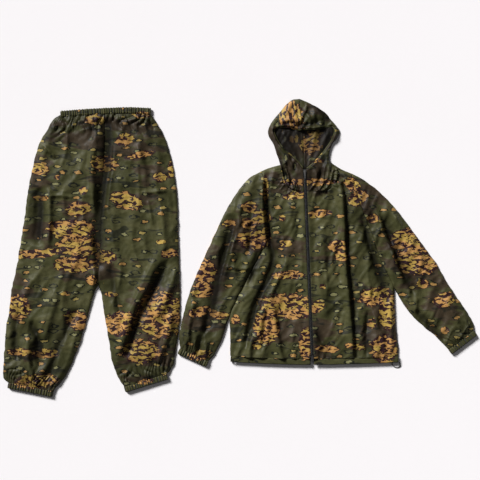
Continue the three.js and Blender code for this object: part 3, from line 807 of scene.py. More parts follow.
RIM = {
    "right": line((-6, -16), (-23, 8), (-48, 32), (-82, 62), (-104, 92), (-118, 122), (-116, 140),
                  (-90, 147), (-62, 147), (-27, 137), (-8, 138)),
    "left": line((8, -16), (30, 2), (55, 27), (80, 58), (102, 88), (113, 112), (118, 132), (108, 150),
                 (55, 141), (20, 138), (-8, 138)),
}
BROW = line((-8, 138), (-14, 200), (-19, 257))


def on_zip(y, side=0.0):
    f = (y - ZIP_TOP[1]) / (ZIP_END[1] - ZIP_TOP[1])
    return (ZIP_TOP[0] + (ZIP_END[0] - ZIP_TOP[0]) * f + side, y)


JACKET_WARM = [
    (-54, 193, 44, 56, 26), (43, 16, 31, 8), (17, -68, 101, 13), (-39, -121, 42, 14, 5),
    (57, -191, 44, 14, 5), (-87, -208, 12, 12), (186, -78, 31, 23, -40), (208, -130, 26, 39, -60),
    (-213, -163, 31, 20), (-166, -204, 34, 29), (-217, -230, 26, 21), (-200, -292, 57, 34),
    (-149, -279, 18, 39), (-151, -98, 10, 52), (-294, -228, 26, 13, 5), (-390, -416, 44, 42, 10),
    (-399, -485, 39, 31), (-408, -571, 47, 17, 10), (-333, -585, 36, 13), (-65, -429, 62, 16, 3),
    (-65, -550, 99, 47, -5), (-148, -633, 47, 60), (-268, -604, 16, 18), (-187, -702, 17, 17),
    (44, -552, 31, 21, 20), (3, -696, 23, 60), (127, -316, 34, 22), (146, -357, 29, 18),
    (86, -716, 47, 14, -5), (195, -706, 39, 13, -8), (276, -511, 60, 34, 10), (325, -581, 34, 55),
    (309, -715, 49, 52), (260, -618, 17, 17), (403, -292, 68, 39, 5), (434, -373, 78, 52, -10),
    (460, -462, 21, 18), (543, -526, 39, 26, 20), (546, -644, 16, 13), (-408, -741, 44, 18, 10),
    (265, -209, 21, 18), (69, -474, 12, 10), (-74, -308, 23, 12, 10),
]
JACKET_BROWN = [
    (-230, -279, 78, 104), (-55, -318, 78, 39), (75, -345, 117, 39), (270, -98, 91, 78),
    (-42, -644, 143, 78), (309, -644, 91, 117), (439, -384, 143, 104), (-354, -435, 65, 117),
    (231, -176, 52, 65), (-380, -618, 91, 52), (62, -709, 104, 52), (543, -540, 78, 65),
    (-16, -71, 143, 52), (62, 98, 78, 78),
]
INSIDE_WARM = [(921, 974, 40, 30), (940, 1020, 34, 20), (860, 1000, 20, 14)]
HOOD_BROWN = [(60, 190, 80, 90), (0, 20, 160, 90), (-110, 90, 50, 90), (900, 990, 160, 200)]


def jacket_lie(settings):
    edges = [SHOULDER[s] for s in SIDES] + [ARM_OUT[s] for s in SIDES] + [ARM_IN[s] for s in SIDES]
    edges += [SIDE_SEAM[s] for s in SIDES]
    lie = Lie(edges, settings.loft * 1000, [(88, 75, 330, 3.6, 31), (60, 36, 150, 1.6, 33)])
    lie.shade_spots = [(0, -70, 120, 40), (-166, -200, 36, 130), (240, -190, 40, 120)]
    gather = settings.gather
    for side in SIDES:
        a, b = cuff_line(side)
        lie.gathers += [(a, b, 10, 10 * gather, 50, 15), (a, b, 5, 5 * gather, 95, 16)]
        lie.rises.append((line(a, b), 11.5, 0, 13))
        lie.fine += [(line(a, b), 52), (NECK[side], 26)]
        lie.shirrs.append((NECK[side], 8, 4.5 * gather, 26, 21))
        lie.seams.append((ARMHOLE[side], 1.0))
        lie.seams.append((NECK[side], 0.6))
    lie.rises.append((line(ZIP_TOP, ZIP_END), 24.3, 9, 17))
    lie.folds = [
        # the storage crease to the wearer's left of the zip
        (line((136, -39), (148, -180), (157, -380), (170, -515), (180, -650), (188, -776)), 7, 7, 14, 1.5),
        (line((150, -39), (162, -180), (170, -380), (184, -515), (193, -650), (200, -776)), -5, 13, 6, 1.5),
        (line((-150, -60), (-144, -200), (-134, -300), (-122, -350), (-134, -410), (-160, -470)),
         -8, 12, 11, 1.5),
        (line((-101, -378), (-140, -450), (-191, -558), (-230, -714)), -10, 13, 15, 1.6),
        (line((-70, -370), (-105, -450), (-155, -560), (-190, -690)), 5, 12, 16, 1.6),
        (line((-165, -80), (-163, -200), (-150, -290)), 5, 8, 8, 1.6),
        (line((-316, -398), (-250, -404), (-168, -406)), 3.0, 8, 4, 1.2),
        (line((-262, -180), (-312, -360), (-350, -520), (-372, -650)), -10, 19, 19, 1.7),
        (line((-200, -110), (-208, -260), (-226, -380)), -4, 14, 14, 1.6),
        (line((-168, -340), (-192, -400), (-224, -470)), -8, 10, 12, 1.6),
        (line((20, -620), (70, -690), (90, -768)), -3.5, 12, 16, 1.6),
        (line((250, -560), (240, -660), (244, -760)), -4.5, 14, 12, 1.6),
        (line((430, -560), (500, -640), (560, -700)), -5, 12, 12, 1.6),
        (line((-240, -120), (-262, -230), (-285, -330), (-330, -480)), 5, 16, 14, 1.7),
        (line((-144, -488), (-121, -604), (-90, -768)), 5, 14, 10, 1.6),
        (line((-200, -640), (-210, -700), (-222, -768)), 4, 14, 18, 1.6),

        (line((222, -190), (250, -300), (290, -420), (330, -540)), -7, 13, 13, 1.6),
        (line((296, -190), (345, -320), (385, -420), (440, -520)), -7, 18, 16, 1.6),
        (line((330, -170), (400, -290), (460, -400), (520, -500)), 4, 20, 16, 1.6),
        (line((260, -130), (300, -240), (345, -350), (385, -470)), 4.5, 16, 14, 1.6),
        (line((540, -520), (575, -580), (610, -650)), 4, 14, 12, 1.6),
        (line((-430, -520), (-448, -620), (-452, -700)), 4.5, 14, 12, 1.6),
        (line((-370, -600), (-400, -680), (-420, -740)), -4, 12, 12, 1.6),
        (line((60, -120), (72, -260), (66, -420), (78, -600)), 3, 22, 26, 1.8),
        (line((-60, -120), (-50, -260), (-62, -420)), 3, 26, 22, 1.8),
        (line((280, -560), (276, -660), (282, -760)), 4, 16, 20, 1.7),
        (line((330, -520), (335, -620), (338, -750)), 3.5, 12, 12, 1.6),
    ]
    return lie


def hood_lie(settings):
    lie = Lie([HOOD_OUT["right"], HOOD_OUT["left"]], 21, [(60, 40, 120, 3.5, 51), (110, 26, 90, 2.2, 55)])
    lie.rises = [(line(on_zip(-16), on_zip(-120)), 24.3, 9, 16)]
    lie.fine = [(NECK["right"], 26), (NECK["left"], 26)]
    lie.lips = [RIM["right"], RIM["left"]]
    lie.lit = [(16, 62, 50, 76, -6)]
    lie.shade_spots = [(70, 194, 76, 66), (0, 10, 140, 60), (-118, 60, 34, 80), (112, 60, 34, 80),
                (0, -60, 110, 50)]
    lie.seams = [(BROW, 1.0), (NECK["right"], 0.6), (NECK["left"], 0.6)]
    for side in SIDES:
        lie.shirrs.append((NECK[side], 8, 4.5 * settings.gather, 30, 21))
    lie.folds = [
        (line((-128, 128), (-112, 92), (-92, 60), (-62, 20), (-40, -30)), 5, 9, 9, 1.6),
        (line((128, 128), (118, 92), (98, 52), (84, 10), (70, -40)), 5, 9, 9, 1.6),
        (line((-90, 20), (-72, -20), (-58, -70)), 4, 7, 9, 1.6),
        (line((-104, 40), (-88, -10), (-66, -60)), -6, 9, 9, 1.6),
        (line((92, 40), (74, -10), (52, -60)), -5, 9, 9, 1.6),
        (line((-120, 150), (-60, 162), (-10, 155), (60, 158), (118, 150)), -3, 14, 14, 1.6),
        (line((40, 236), (74, 200), (100, 160)), -6, 14, 14, 1.6),
        (line((100, 10), (92, -30), (84, -70)), 4, 9, 7, 1.6),
        (line((-100, 160), (-50, 175), (-10, 165)), 3, 10, 14, 1.6),
        (line((20, 160), (60, 172), (100, 168)), -3, 12, 12, 1.6),
    ]
    return lie


def hood_back(p):
    """The back of the hood, seen through the face opening, with its seam and soft folds."""
    d = np.min([near(p, HOOD_OUT[s])[0] for s in SIDES], 0)
    z = EDGE - (EDGE - FLOOR) * roll(d / 7)
    body = 2.6 * creases(p, 84, 34, 150, 61) + 1.6 * creases(p, 60, 20, 90, 63)
    for path, height, width in (
        (line((-30, 130), (-12, 60), (6, -10)), 6, 9), (line((44, 130), (30, 60), (16, -10)), 6, 8),
        (line((-80, 120), (-50, 60), (-10, -5)), 5, 9), (line((90, 120), (66, 70), (30, 0)), 5, 9),
    ):
        far = near(p, path)[0]
        body += height * np.exp(-(far / width) ** 1.6)
    seam = near(p, line((-3, 257), (-4, 120), (-2, -30)))[0]
    body += 1.6 * np.exp(-((seam - 3.4) / 2.4) ** 2) - 1.0 * np.exp(-(seam / 1.6) ** 2)
    return z + np.clip(body, 0, 11) * roll(d / 40)


def cuff_line(side):
    a, b = (np.array(q, float) for q in CUFF[side])
    up = np.array([-(b - a)[1], (b - a)[0]])
    up *= CASING / math.hypot(*up)
    return a + up, b + up


# ---------------------------------------------------------------- settings

def colour(name, description, default):
    return FloatVectorProperty(name=name, description=description, default=default, size=3,
                               subtype="COLOR", min=0, max=1)


class SuitSettings(bpy.types.PropertyGroup):
    loft: FloatProperty(name="Loft", description="Height of a flattened garment away from its edges",
                        default=0.0175, min=0.012, max=0.022, unit="LENGTH", subtype="DISTANCE")
    gather: FloatProperty(name="Gather", description="How strongly the elastic gathers the cloth",
                          default=1.0, min=0.2, max=1.6, subtype="FACTOR")
    spacing: FloatProperty(name="Mesh spacing", description="Distance between points of the cloth",
                           default=0.006, min=0.003, max=0.02, unit="LENGTH", subtype="DISTANCE")
    olive: colour("Olive", "Main colour of the print", (0.056, 0.057, 0.021))
    leaf: colour("Leaf", "Second green of the print", (0.080, 0.078, 0.031))
    deep: colour("Deep green", "Outlines and shadows of the print", (0.012, 0.014, 0.010))
    brown: colour("Brown", "Brown areas of the print", (0.054, 0.038, 0.023))
    plum: colour("Plum", "Dark spots and fringe of the clusters", (0.030, 0.010, 0.014))
    tan: colour("Tan", "Warm colour of the clusters", (0.48, 0.26, 0.082))
    yellow: colour("Yellow", "Yellow of the clusters", (0.44, 0.31, 0.070))
    pale: colour("Pale", "Small pale spots", (0.29, 0.28, 0.13))


def settings():
    """The scene's own sizes and colours."""
    return bpy.context.scene.suit


def material(name, make, *args):
    """The named material, made on its first use."""
    return bpy.data.materials.get(name) or make(name, *args)


def dress(obj, mat):
    """Gives a piece its material, with an inside face where it is cloth."""
    obj.data.materials.clear()
    obj.data.materials.append(mat)
    if any(m.type == "SOLIDIFY" for m in obj.modifiers):
        inner = material("Printed cloth, inside", camouflage, settings(), INSIDE_SHADE, 3.3)
        obj.data.materials.append(inner)
    return obj


def print_cloth():
    return material("Printed cloth", camouflage, settings())


def hang(obj, garment, side):
    """Fixes a piece to its garment's body; a left trouser piece only has its place baked into its mesh."""
    if garment == "trousers":
        if side == "right":
            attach(obj, "trousers_right_half")
        else:
            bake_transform(obj)
    else:
        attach(obj, garment)


# ---------------------------------------------------------------- operators

class Builder(bpy.types.Operator):
    bl_options = {"REGISTER", "UNDO"}

    def execute(self, context):
        self.make(context.scene.suit)
        return {"FINISHED"}


class SUIT_OT_trousers(Builder):
    """Make the two legs of the trousers, front and back"""
    bl_idname = "suit.trousers"
    bl_label = "Trouser Legs"

    def make(self, s):
        for side in SIDES:
            lie, a, b = trouser_lie(side, s)
            out, inner = LEG_OUT[side], LEG_IN[side]
            first, last = (a, b) if side == "right" else (b, a)
            out = np.concatenate([out[:-1], [first]])
            inner = np.concatenate([inner[:-1], [last]])
            ankle = line(first, last)
            waist = line((0, -17), (out[0][0] * 0.5, -16), tuple(out[0]))
            outline = ring(waist, out, ankle, inner[::-1], CENTRE[::-1])
            under = ring(waist[::2], out, ankle, inner[::-1], CENTRE[::-1])
            obj = cloth(f"trouser_leg_{side}", TROUSERS, lie, [(outline, "top"), (under, "bottom")],
                        TROUSER_WARM, TROUSER_BROWN, (0 if side == "right" else 331, 170), s.spacing * 1000)
            dress(obj, print_cloth())
            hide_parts(f"trouser_front_{side}", f"trouser_back_{side}", f"outseam_{side}",
                        f"inseam_{side}")
            hang(obj, "trousers", side)


class SUIT_OT_body(Builder):
    """Make the jacket's fronts and back"""
    bl_idname = "suit.body"
    bl_label = "Jacket Body"

    def make(self, s):
        lie = jacket_lie(s)
        top_hem = {}
        for side in SIDES:
            edge = -6.5 if side == "right" else 6.5
            seam = SIDE_SEAM[side]
            neck = np.concatenate([NECK[side][:-1], [on_zip(-104, edge)]])
            foot = line(tuple(seam[-1]), (seam[-1][0] * 0.5 + 10, -752), on_zip(-754, edge))
            top_hem[side] = foot
            front_edge = line(on_zip(-754, edge), on_zip(-104, edge))
            outline = ring(neck[::-1], SHOULDER[side], ARMHOLE[side], seam, foot, front_edge)
            obj = cloth(f"jacket_front_{side}_cloth", JACKET, lie, [(outline, "top")],
                        JACKET_WARM, JACKET_BROWN, (0 if side == "right" else 57, 91), s.spacing * 1000)
            dress(obj, print_cloth())
            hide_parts(f"jacket_front_{side}", f"shoulder_seam_{side}", f"side_seam_{side}")
            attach(obj, "jacket")
        right = ring(SHOULDER["right"], ARMHOLE["right"], SIDE_SEAM["right"])
        other = ring(SHOULDER["left"], ARMHOLE["left"], SIDE_SEAM["left"])
        hem = line((-289, -745), (31, -756), (366, -746))
        outline = ring(right, hem[1:-1], other[::-1], line((119, -2), (12, -4), (-94, 0)))
        obj = cloth("jacket_back_cloth", JACKET, lie, [(outline, "bottom")], JACKET_WARM, JACKET_BROWN,
                    (400, 300), s.spacing * 1000)
        dress(obj, print_cloth())
        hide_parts("jacket_back")
        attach(obj, "jacket")


def arm_fold(side):
    """Start and end of the bend in a sleeve, across its armhole."""
    if side == "right":
        a, out = np.array([-137.0, -200.0]), np.array([-1.0, 0.0])
    else:
        a, out = np.array([254.0, -258.9]), np.array([0.94012, 0.34085])
    reach = (38, 125) if side == "right" else (16, 100)
    return [[*(JACKET + (a + out * r) / 1000), 0.01] for r in reach]


class SUIT_OT_sleeves(Builder):
    """Make the two sleeves"""
    bl_idname = "suit.sleeves"
    bl_label = "Sleeves"

    def make(self, s):
        lie = jacket_lie(s)
        for side in SIDES:
            a, b = cuff_line(side)
            first, last = (a, b) if side == "right" else (b, a)
            out = np.concatenate([ARM_OUT[side][:-1], [first]])
            inner = np.concatenate([ARM_IN[side][:-1], [last]])
            outline = ring(out, line(first, last), inner[::-1], ARMHOLE[side][::-1])
            obj = cloth(f"sleeve_{side}_cloth", JACKET, lie, [(outline, "top"), (outline, "bottom")],
                        JACKET_WARM, JACKET_BROWN, (120 if side == "right" else 250, 40), s.spacing * 1000)
            dress(obj, print_cloth())
            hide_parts(f"sleeve_front_{side}", f"sleeve_back_{side}", f"sleeve_outer_fold_{side}",
                        f"underarm_seam_{side}")
            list(arm_fold(side))
            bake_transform(obj)


class SUIT_OT_hood(Builder):
    """Make the hood's two halves, with the throat that the zip runs up into"""
    bl_idname = "suit.hood"
    bl_label = "Hood"

    def make(self, s):
        lie = hood_lie(s)
        for side in SIDES:
            edge = -6.5 if side == "right" else 6.5
            throat = line(on_zip(-104, edge), on_zip(-20, edge))
            neck = np.concatenate([NECK[side][:-1], [on_zip(-104, edge)]])
            front = ring(HOOD_OUT[side], BROW[::-1], RIM[side][::-1], throat[::-1], neck[::-1])
            seam = line((-19, 257), (-4, 120), (-2, -24), (-2, -40))
            back = ring(HOOD_OUT[side], seam, line((-2, -40), (-60 if side == "right" else 70, -34),
                                                   tuple(HOOD_OUT[side][0])))
            obj = cloth(f"hood_{side}_cloth", JACKET, lie, [(front, "top"), (back, hood_back)],
                        JACKET_WARM + INSIDE_WARM, JACKET_BROWN + HOOD_BROWN,
                        (33 if side == "right" else 210, 400), s.spacing * 800, side == "right")
            dress(obj, print_cloth())
            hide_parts(f"hood_front_{side}", f"hood_back_{side}", f"hood_crown_fold_{side}",
                        f"hood_throat_{side}")
            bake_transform(obj)
            obj = piping(f"hood_rim_{side}_hem", lie, RIM[side], 2.6, -1.2)
            dress(obj, print_cloth())
            if side == "right":
                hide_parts("hood_rim")
            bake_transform(obj)


class SUIT_OT_casings(Builder):
    """Make the gathered elastic casings of waist, ankles and cuffs, with the elastic inside"""
    bl_idname = "suit.casings"
    bl_label = "Elastic Casings"

    def make(self, s):
        knit = material("Knitted elastic", webbing, (0.04, 0.04, 0.036), 0.0012)
        jobs = []
        for side in SIDES:
            ends = (True, False) if side == "right" else (False, True)
            jobs.append((f"waist_{{}}_{side}", TROUSERS, WAIST[side], -CASING, 2.2, 13.5,
                         ends, "trousers", side, 0.105))
            jobs.append((f"ankle_{{}}_{side}", TROUSERS, ANKLE[side], CASING, 2.2, 12.5,
                         (True, True), "trousers", side, 0.1))
            jobs.append((f"cuff_{{}}_{side}", JACKET, CUFF[side], CASING, 2.2, 12,
                         (True, True), f"{side}_sleeve", side, 0.1))
        for name, at, path, depth, low, high, ends, garment, side, count in jobs:
            warm, brown = ((TROUSER_WARM, TROUSER_BROWN) if at is TROUSERS else (JACKET_WARM, JACKET_BROWN))
            path = np.array(path, float)
            short = [path[0] + (path[-1] - path[0]) * (0.03 if ends[0] else 0)] + list(path[1:-1])
            short += [path[-1] - (path[-1] - path[0]) * (0.03 if ends[1] else 0)]
            obj, plan, uv = band(name.format("casing_cloth"), at, short, depth, low, high, (1.6, -1.3),
                                 count, 5.0 * s.gather, ends, steps=2.0)
            paint(obj, plan, uv, warm, brown)
            dress(obj, print_cloth())
            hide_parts(name.format("casing"))
            hang(obj, garment, side)
            inner, plan, uv = band(name.format("elastic_band"), at, short, depth * 0.86, low,
                                   high, (0.5, -0.5), 0, 0, ends)
            dress(inner, knit)
            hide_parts(name.format("elastic"))
            hang(inner, garment, side)


class SUIT_OT_hem(Builder):
    """Make the jacket's hem casing in two halves"""
    bl_idname = "suit.hem"
    bl_label = "Hem Casing"

    def make(self, s):
        for side in SIDES:
            end = on_zip(-778, -7 if side == "right" else 7)
            path = [q for q in HEM[::6] if (q[0] < end[0]) == (side == "right")]
            if side == "right":
                path, ends = [HEM[0] + (6, 0)] + path[1:] + [np.array(end)], (True, False)
            else:
                path = [np.array(end)] + [q for q in path if q[0] < 350] + [HEM[-1] - (6, 0)]
                ends = (False, True)
            obj, plan, uv = band(f"hem_{side}_cloth", JACKET, path, CASING + 0.5, 2.0, 14.5, (1.3, -1.1),
                                 0, 0, ends, steps=6)
            paint(obj, plan, plan, JACKET_WARM, JACKET_BROWN)
            dress(obj, print_cloth())
            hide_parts(f"hem_casing_{side}")
            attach(obj, "jacket")


class SUIT_OT_zip(Builder):
    """Make the zip: tapes, two rows of teeth, stops, box, slider and puller"""
    bl_idname = "suit.zip"
    bl_label = "Zip"

    def make(self, s):
        tape = material("Zip tape", webbing, (0.032, 0.034, 0.034), 0.0009)
        teeth = material("Zip teeth", plain, (0.028, 0.028, 0.03), 0.4, 0.0, 1500.0, 0.00005)
        metal = material("Zip metal", plain, (0.27, 0.265, 0.26), 0.34, 0.9, 1200.0, 0.00004)
        way = np.array(ZIP_END, float) - ZIP_TOP
        length = math.hypot(*way)
        way /= length
        side_way = np.array([-way[1], way[0]])

        def place(x, y, z):
            return (*(JACKET + (np.array(ZIP_TOP) + side_way * x + way * y) / 1000), z / 1000)

        for side in SIDES:
            sign = -1 if side == "right" else 1
            verts = []
            cuts = [0.9, 3.0, 6.0, 9.0, 12.0, 15.0]
            sag = [22.9, 22.9, 22.6, 22.0, 21.0, 20.0]
            count = 150
            for i in range(count + 1):
                y = 2 + (length - 26) * i / count
                for x, z in zip(cuts, sag):
                    verts.append(place(sign * x, y, z + 0.15 * math.sin(i * 1.7)))
                for x, z in reversed(list(zip(cuts, sag))):
                    verts.append(place(sign * x, y, z - 0.5 + 0.15 * math.sin(i * 1.7)))
            obj = outward(build(f"zip_tape_{side}_web", verts, tube(count + 1, len(cuts) * 2)))
            dress(obj, tape)
            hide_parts(f"zip_tape_{side}")
            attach(obj, "jacket")
            obj = coil(f"zip_coil_{side}", place, sign, 8, length - 28)
            dress(obj, teeth)
            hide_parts(f"zip_teeth_{side}")
            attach(obj, "jacket")
            clip = [(0.7, 2.6), (3.6, 2.6), (3.9, 4.2), (3.5, 6.2), (0.8, 6.2)]
            obj = block(f"zip_stop_{side}_clip", place, [(sign * x, y) for x, y in clip], 23.2, 25.6, 0.4)
            dress(obj, teeth)
            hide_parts(f"zip_top_stop_{side}")
            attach(obj, "jacket")
            obj = piping(f"neck_seam_{side}_binding", jacket_lie(s), NECK[side], 1.6)
            dress(obj, print_cloth())
            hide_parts(f"neck_seam_{side}")
            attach(obj, "jacket")
        end = length - 25
        obj = block("zip_box_end", place, [(-5, end + 1), (5, end + 1), (5.2, end + 9), (4, end + 13.5),
                                           (-4, end + 13.5), (-5.2, end + 9)], 21.4, 25.6, 0.8)
        dress(obj, teeth)
        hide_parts("zip_box")
        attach(obj, "jacket")
        y = 12.5
        shield = [(-4.6, y - 6.4), (4.6, y - 6.4), (5.6, y - 2), (4.4, y + 6.2), (-4.4, y + 6.2),
                  (-5.6, y - 2)]
        parts = [block("zip_slider_body", place, shield, 26.3, 27.9, 0.5),
                 block("slider_under", place, shield, 20.0, 21.4, 0.5),
                 block("slider_bridge", place, [(-0.35, y - 4), (0.35, y - 4), (0.35, y + 3), (-0.35, y + 3)],
                       21.0, 26.6, 0.1)]
        for sign in (-1, 1):
            flange = [(3.9, y - 5.4), (5.0, y - 4), (4.6, y + 5.2), (3.9, y + 5.4)]
            ear = [(2.5, y - 2.4), (3.7, y - 2.4), (3.7, y + 2.4), (2.5, y + 2.4)]
            for name, half, *rest in (("flange", flange, 24.6, 26.8, 0.3), ("ear", ear, 27.4, 30.4, 0.5)):
                parts.append(block(f"slider_{name}", place, [(sign * a, b) for a, b in half], *rest))
        slider = join(*parts)
        dress(slider, metal)
        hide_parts("zip_slider")
        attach(slider, "slider")
        far = y + 26
        tab = [(-1.5, y + 1.2), (1.5, y + 1.2), (2.9, y + 6), (3.2, far - 4), (2.0, far), (-2.0, far),
               (-3.2, far - 4), (-2.9, y + 6)]
        hole = [(-1.3, far - 3.2), (1.3, far - 3.2), (1.3, far - 8), (-1.3, far - 8)]
        plate = block("zip_puller_tab", place, tab, 28.9, 30.1, 0.4, hole)
        pin = rod("puller_pin", place, (-2.1, y, 29.5), (2.1, y, 29.5), 0.8)
        arm = block("puller_arm", place, [(-1.4, y - 0.3), (1.4, y - 0.3), (1.4, y + 2.5), (-1.4, y + 2.5)],
                    28.95, 30.05, 0.3)
        puller = join(plate, pin, arm)
        dress(puller, metal)
        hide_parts("zip_puller")
        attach(puller, "puller")


def join(first, *others):
    """Adds the other objects' meshes to the first."""
    for obj in others:
        rework(first, lambda work: work.from_mesh(obj.data))
        bpy.data.objects.remove(obj)
    return first


def block(name, place, outline, low, high, bevel, hole=None):
    """A plate of the given outline with softened edges, with one hole through it if asked."""
    work = bmesh.new()
    loops = [outline] + ([hole] if hole else [])
    rings = []
    for loop in loops:
        rings.append([[work.verts.new(place(x, y, z)) for x, y in loop] for z in (low, high)])
    for lower, upper in rings:
        n = len(lower)
        for i in range(n):
            work.faces.new((lower[i], lower[(i + 1) % n], upper[(i + 1) % n], upper[i]))
    for level in (0, 1):
        edges = []
        for pair in rings:
            loop = pair[level]
            edges += [work.edges.get((loop[i], loop[(i + 1) % len(loop)])) for i in range(len(loop))]
        bmesh.ops.triangle_fill(work, edges=edges, use_beauty=True)
    bmesh.ops.recalc_face_normals(work, faces=work.faces)
    bmesh.ops.dissolve_limit(work, angle_limit=0.02, verts=work.verts, edges=work.edges)
    bmesh.ops.bevel(work, geom=list(work.edges), offset=bevel / 1000, segments=2, affect="EDGES",
                    profile=0.5, clamp_overlap=True)
    mesh = bpy.data.meshes.new(name)
    work.to_mesh(mesh)
    work.free()
    return add(name, mesh)


def rod(name, place, a, b, radius):
    """A short round pin with domed ends, across the zip."""
    verts = []
    for f, r in ((-0.06, 0.4), (-0.03, 0.8), (0, 1), (1, 1), (1.03, 0.8), (1.06, 0.4)):
        for k in range(10):
            t = 2 * math.pi * k / 10
            x = a[0] + (b[0] - a[0]) * f
            verts.append(place(x, a[1] + radius * r * math.cos(t), a[2] + radius * r * math.sin(t)))
    return outward(build(name, verts, tube(6, 10)))


def coil(name, place, sign, start, end, pitch=1.9):
    """A row of coil teeth: each a rounded bar reaching to the middle, linked along its back."""
    verts, faces = [], []
    count = int((end - start) / pitch)
    for i in range(count):
        y = start + i * pitch + (0.5 * pitch if sign > 0 else 0)
        base = len(verts)
        for x, swell, lift in ((0.35, 0.55, 0.0), (0.9, 0.78, 0.1), (2.6, 0.6, 0.0), (3.4, 0.5, -0.35)):
            for dy, dz in ((-1, 0), (-0.6, 0.9), (0.6, 0.9), (1, 0), (0, -0.8)):
                verts.append(place(sign * x, y + dy * swell * 0.8, 24.2 + lift + dz * swell * 1.15))
        faces += tube(4, 5, base)
    base = len(verts)
    rows = count // 4
    for i in range(rows + 1):
        y = start + (end - start) * i / rows
        for dx, dz in ((-0.5, 0), (0, 0.6), (0.5, 0), (0, -0.6)):
            verts.append(place(sign * (3.1 + dx), y, 23.9 + dz))
    return outward(build(name, verts, faces + tube(rows + 1, 4, base)))


def piping(name, lie, path, radius, lift=-0.3):
    """A bound seam or turned edge lying on the cloth."""
    z = lie.top(path) + lift
    ahead = np.gradient(path, axis=0)
    ahead /= np.hypot(ahead[:, 0], ahead[:, 1])[:, None]
    cross = np.stack([-ahead[:, 1], ahead[:, 0]], 1)
    verts, plan = [], []
    for p, c, h in zip(path, cross, z):
        for k in range(8):
            a = 2 * math.pi * k / 8
            q = p + c * radius * 1.3 * math.cos(a)
            plan.append(q)
            verts.append((*(q / 1000 + JACKET), (h + 0.75 * radius * math.sin(a)) / 1000))
    obj = outward(build(name, verts, tube(len(path), 8)))
    plan = np.array(plan)
    paint(obj, plan, plan + 37, JACKET_WARM, JACKET_BROWN)
    return obj


class SUIT_OT_stitching(Builder):
    """Make the rows of stitching beside the zip, along the armhole seams and along the hem casing"""
    bl_idname = "suit.stitching"
    bl_label = "Stitching"

    def make(self, s):
        thread = material("Thread", plain, (0.045, 0.047, 0.03), 0.75, 0.0, 2500.0, 0.00005)
        lie = jacket_lie(s)
        rows = []
        for side in SIDES:
            edge = -10 if side == "right" else 10
            rows.append(line(on_zip(-110, edge), on_zip(-750, edge), step=3))
            arm = ARMHOLE[side]
            rows.append(arm[2:-3] + (5.5 if side == "right" else -5.5, 0))
        rows.append(line((-280, -740), (-130, -750), (15, -752), step=3))
        rows.append(line((40, -752), (200, -749), (358, -742), step=3))
        obj = dashes("jacket_stitching", JACKET, rows, lambda p: lie.top(p) + 0.2)
        dress(obj, thread)
        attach(obj, "jacket")


class SUIT_OT_cord(Builder):
    """Make the loop of elastic cord at the left corner of the hem"""
    bl_idname = "suit.cord"
    bl_label = "Hem Cord Loop"

    def make(self, s):
        hem = np.array([366.704, -768.0])
        route = [(-26, -0.8, 5), (-24, -11, 3), (-15, -20, 1.9), (-3, -22, 1.9), (6, -16, 3), (4, -0.8, 5)]
        points = [np.array([*(JACKET + (hem + (x, y)) / 1000), z / 1000]) for x, y, z in route]
        dense = rounded_route(points, 8)
        curve = bpy.data.curves.new("hem_cord", "CURVE")
        curve.dimensions = "3D"
        curve.bevel_depth = 0.0015
        curve.bevel_resolution = 4
        curve.use_fill_caps = True
        spline = curve.splines.new("POLY")
        spline.points.add(len(dense) - 1)
        for point, place in zip(spline.points, dense):
            point.co = (*place, 1)
        obj = add("hem_cord", curve)
        dress(obj, material("Elastic cord", webbing, (0.05, 0.052, 0.045), 0.0009))
        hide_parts("hem_cord_loop")
        length = float(sum(np.linalg.norm(b - a) for a, b in zip(dense[:-1], dense[1:])))
        tuple(dense[0])
        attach(obj, "jacket")


def rounded_route(points, count):
    """Centripetal rounding between route points."""
    p = [2 * points[0] - points[1], *points, 2 * points[-1] - points[-2]]
    out = [points[0]]
    for a, b, c, d in zip(p[:-3], p[1:-2], p[2:-1], p[3:]):
        t0 = 0.0
        t1 = t0 + math.sqrt(np.linalg.norm(b - a))
        t2 = t1 + math.sqrt(np.linalg.norm(c - b))
        t3 = t2 + math.sqrt(np.linalg.norm(d - c))
        for t in np.linspace(t1, t2, count + 1)[1:]:
            a1 = a * (t1 - t) / (t1 - t0) + b * (t - t0) / (t1 - t0)
            a2 = b * (t2 - t) / (t2 - t1) + c * (t - t1) / (t2 - t1)
            a3 = c * (t3 - t) / (t3 - t2) + d * (t - t2) / (t3 - t2)
            b1 = a1 * (t2 - t) / (t2 - t0) + a2 * (t - t0) / (t2 - t0)
            b2 = a2 * (t3 - t) / (t3 - t1) + a3 * (t - t1) / (t3 - t1)
            out.append(b1 * (t2 - t) / (t2 - t1) + b2 * (t - t1) / (t2 - t1))
    return out


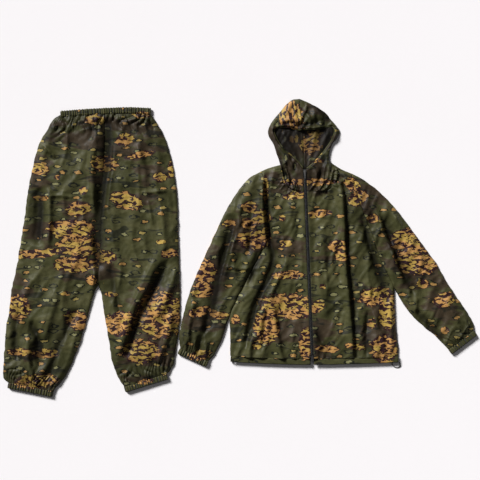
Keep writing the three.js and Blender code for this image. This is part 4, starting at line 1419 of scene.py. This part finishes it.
class SUIT_OT_stage(Builder):
    """Make the pale floor, the soft lights and the camera above"""
    bl_idname = "suit.stage"
    bl_label = "Stage"

    def make(self, s):
        far = 60
        corners = [(-far, -far, 0), (far, -far, 0), (far, far, 0), (-far, far, 0)]
        floor = build("floor", corners, [(0, 1, 2, 3)], False)
        pale = material("Pale floor", plain, (0.945, 0.93, 0.955), 0.9, 0.0, 40.0, 0.0001, 0.004, 0.1)
        floor.data.materials.append(pale)
        scene = bpy.context.scene
        world = bpy.data.worlds.new("Studio")
        scene.world = world
        world.use_nodes = True
        back = world.node_tree.nodes["Background"]
        back.inputs[0].default_value = (1.0, 0.985, 0.98, 1)
        back.inputs[1].default_value = 0.085
        for name, kind, place, size, power, tint in (
            ("Key", "SUN", (-5.2, 5.6, 4.9), 0.28, 5.36, (1.0, 0.985, 0.97)),
            ("Fill", "AREA", (3.0, -1.6, 3.6), 3.0, 5, (0.97, 0.98, 1.0)),
        ):
            lamp = bpy.data.lights.new(name, kind)
            setattr(lamp, "angle" if kind == "SUN" else "size", size)
            lamp.energy = power
            lamp.color = tint
            obj = add(name, lamp)
            obj.location = place
            obj.rotation_euler = (-Vector(place)).to_track_quat("-Z", "Y").to_euler()
        camera = bpy.data.cameras.new("Camera")
        camera.lens = 85
        camera.sensor_width = 36
        camera.clip_end = 50
        obj = add("Camera", camera)
        obj.location = (-0.0007, 0.0312, 4.42)
        scene.camera = obj
        scene.view_settings.view_transform = "Standard"
        scene.view_settings.look = "None"


OPERATORS = (SUIT_OT_stage, SUIT_OT_cord, SUIT_OT_trousers, SUIT_OT_body, SUIT_OT_sleeves, SUIT_OT_hood,
             SUIT_OT_casings, SUIT_OT_hem, SUIT_OT_zip, SUIT_OT_stitching)


class SUIT_PT_panel(bpy.types.Panel):
    """Sizes and colours of the suit, and a button for each group of pieces"""
    bl_idname = "SUIT_PT_panel"
    bl_label = "Over-suit"
    bl_space_type = "VIEW_3D"
    bl_region_type = "UI"
    bl_category = "Over-suit"

    def draw(self, context):
        for name in SuitSettings.__annotations__:
            self.layout.prop(context.scene.suit, name)
        for operator in OPERATORS:
            self.layout.operator(operator.bl_idname)


CLASSES = (SuitSettings, *OPERATORS, SUIT_PT_panel)


def register():
    for cls in CLASSES:
        bpy.utils.register_class(cls)
    bpy.types.Scene.suit = PointerProperty(type=SuitSettings)


def unregister():
    del bpy.types.Scene.suit
    for cls in reversed(CLASSES):
        bpy.utils.unregister_class(cls)


def main():
    register()
    for operator in OPERATORS:
        group, name = operator.bl_idname.split(".")
        getattr(getattr(bpy.ops, group), name)()


if __name__ == "__main__":
    main()
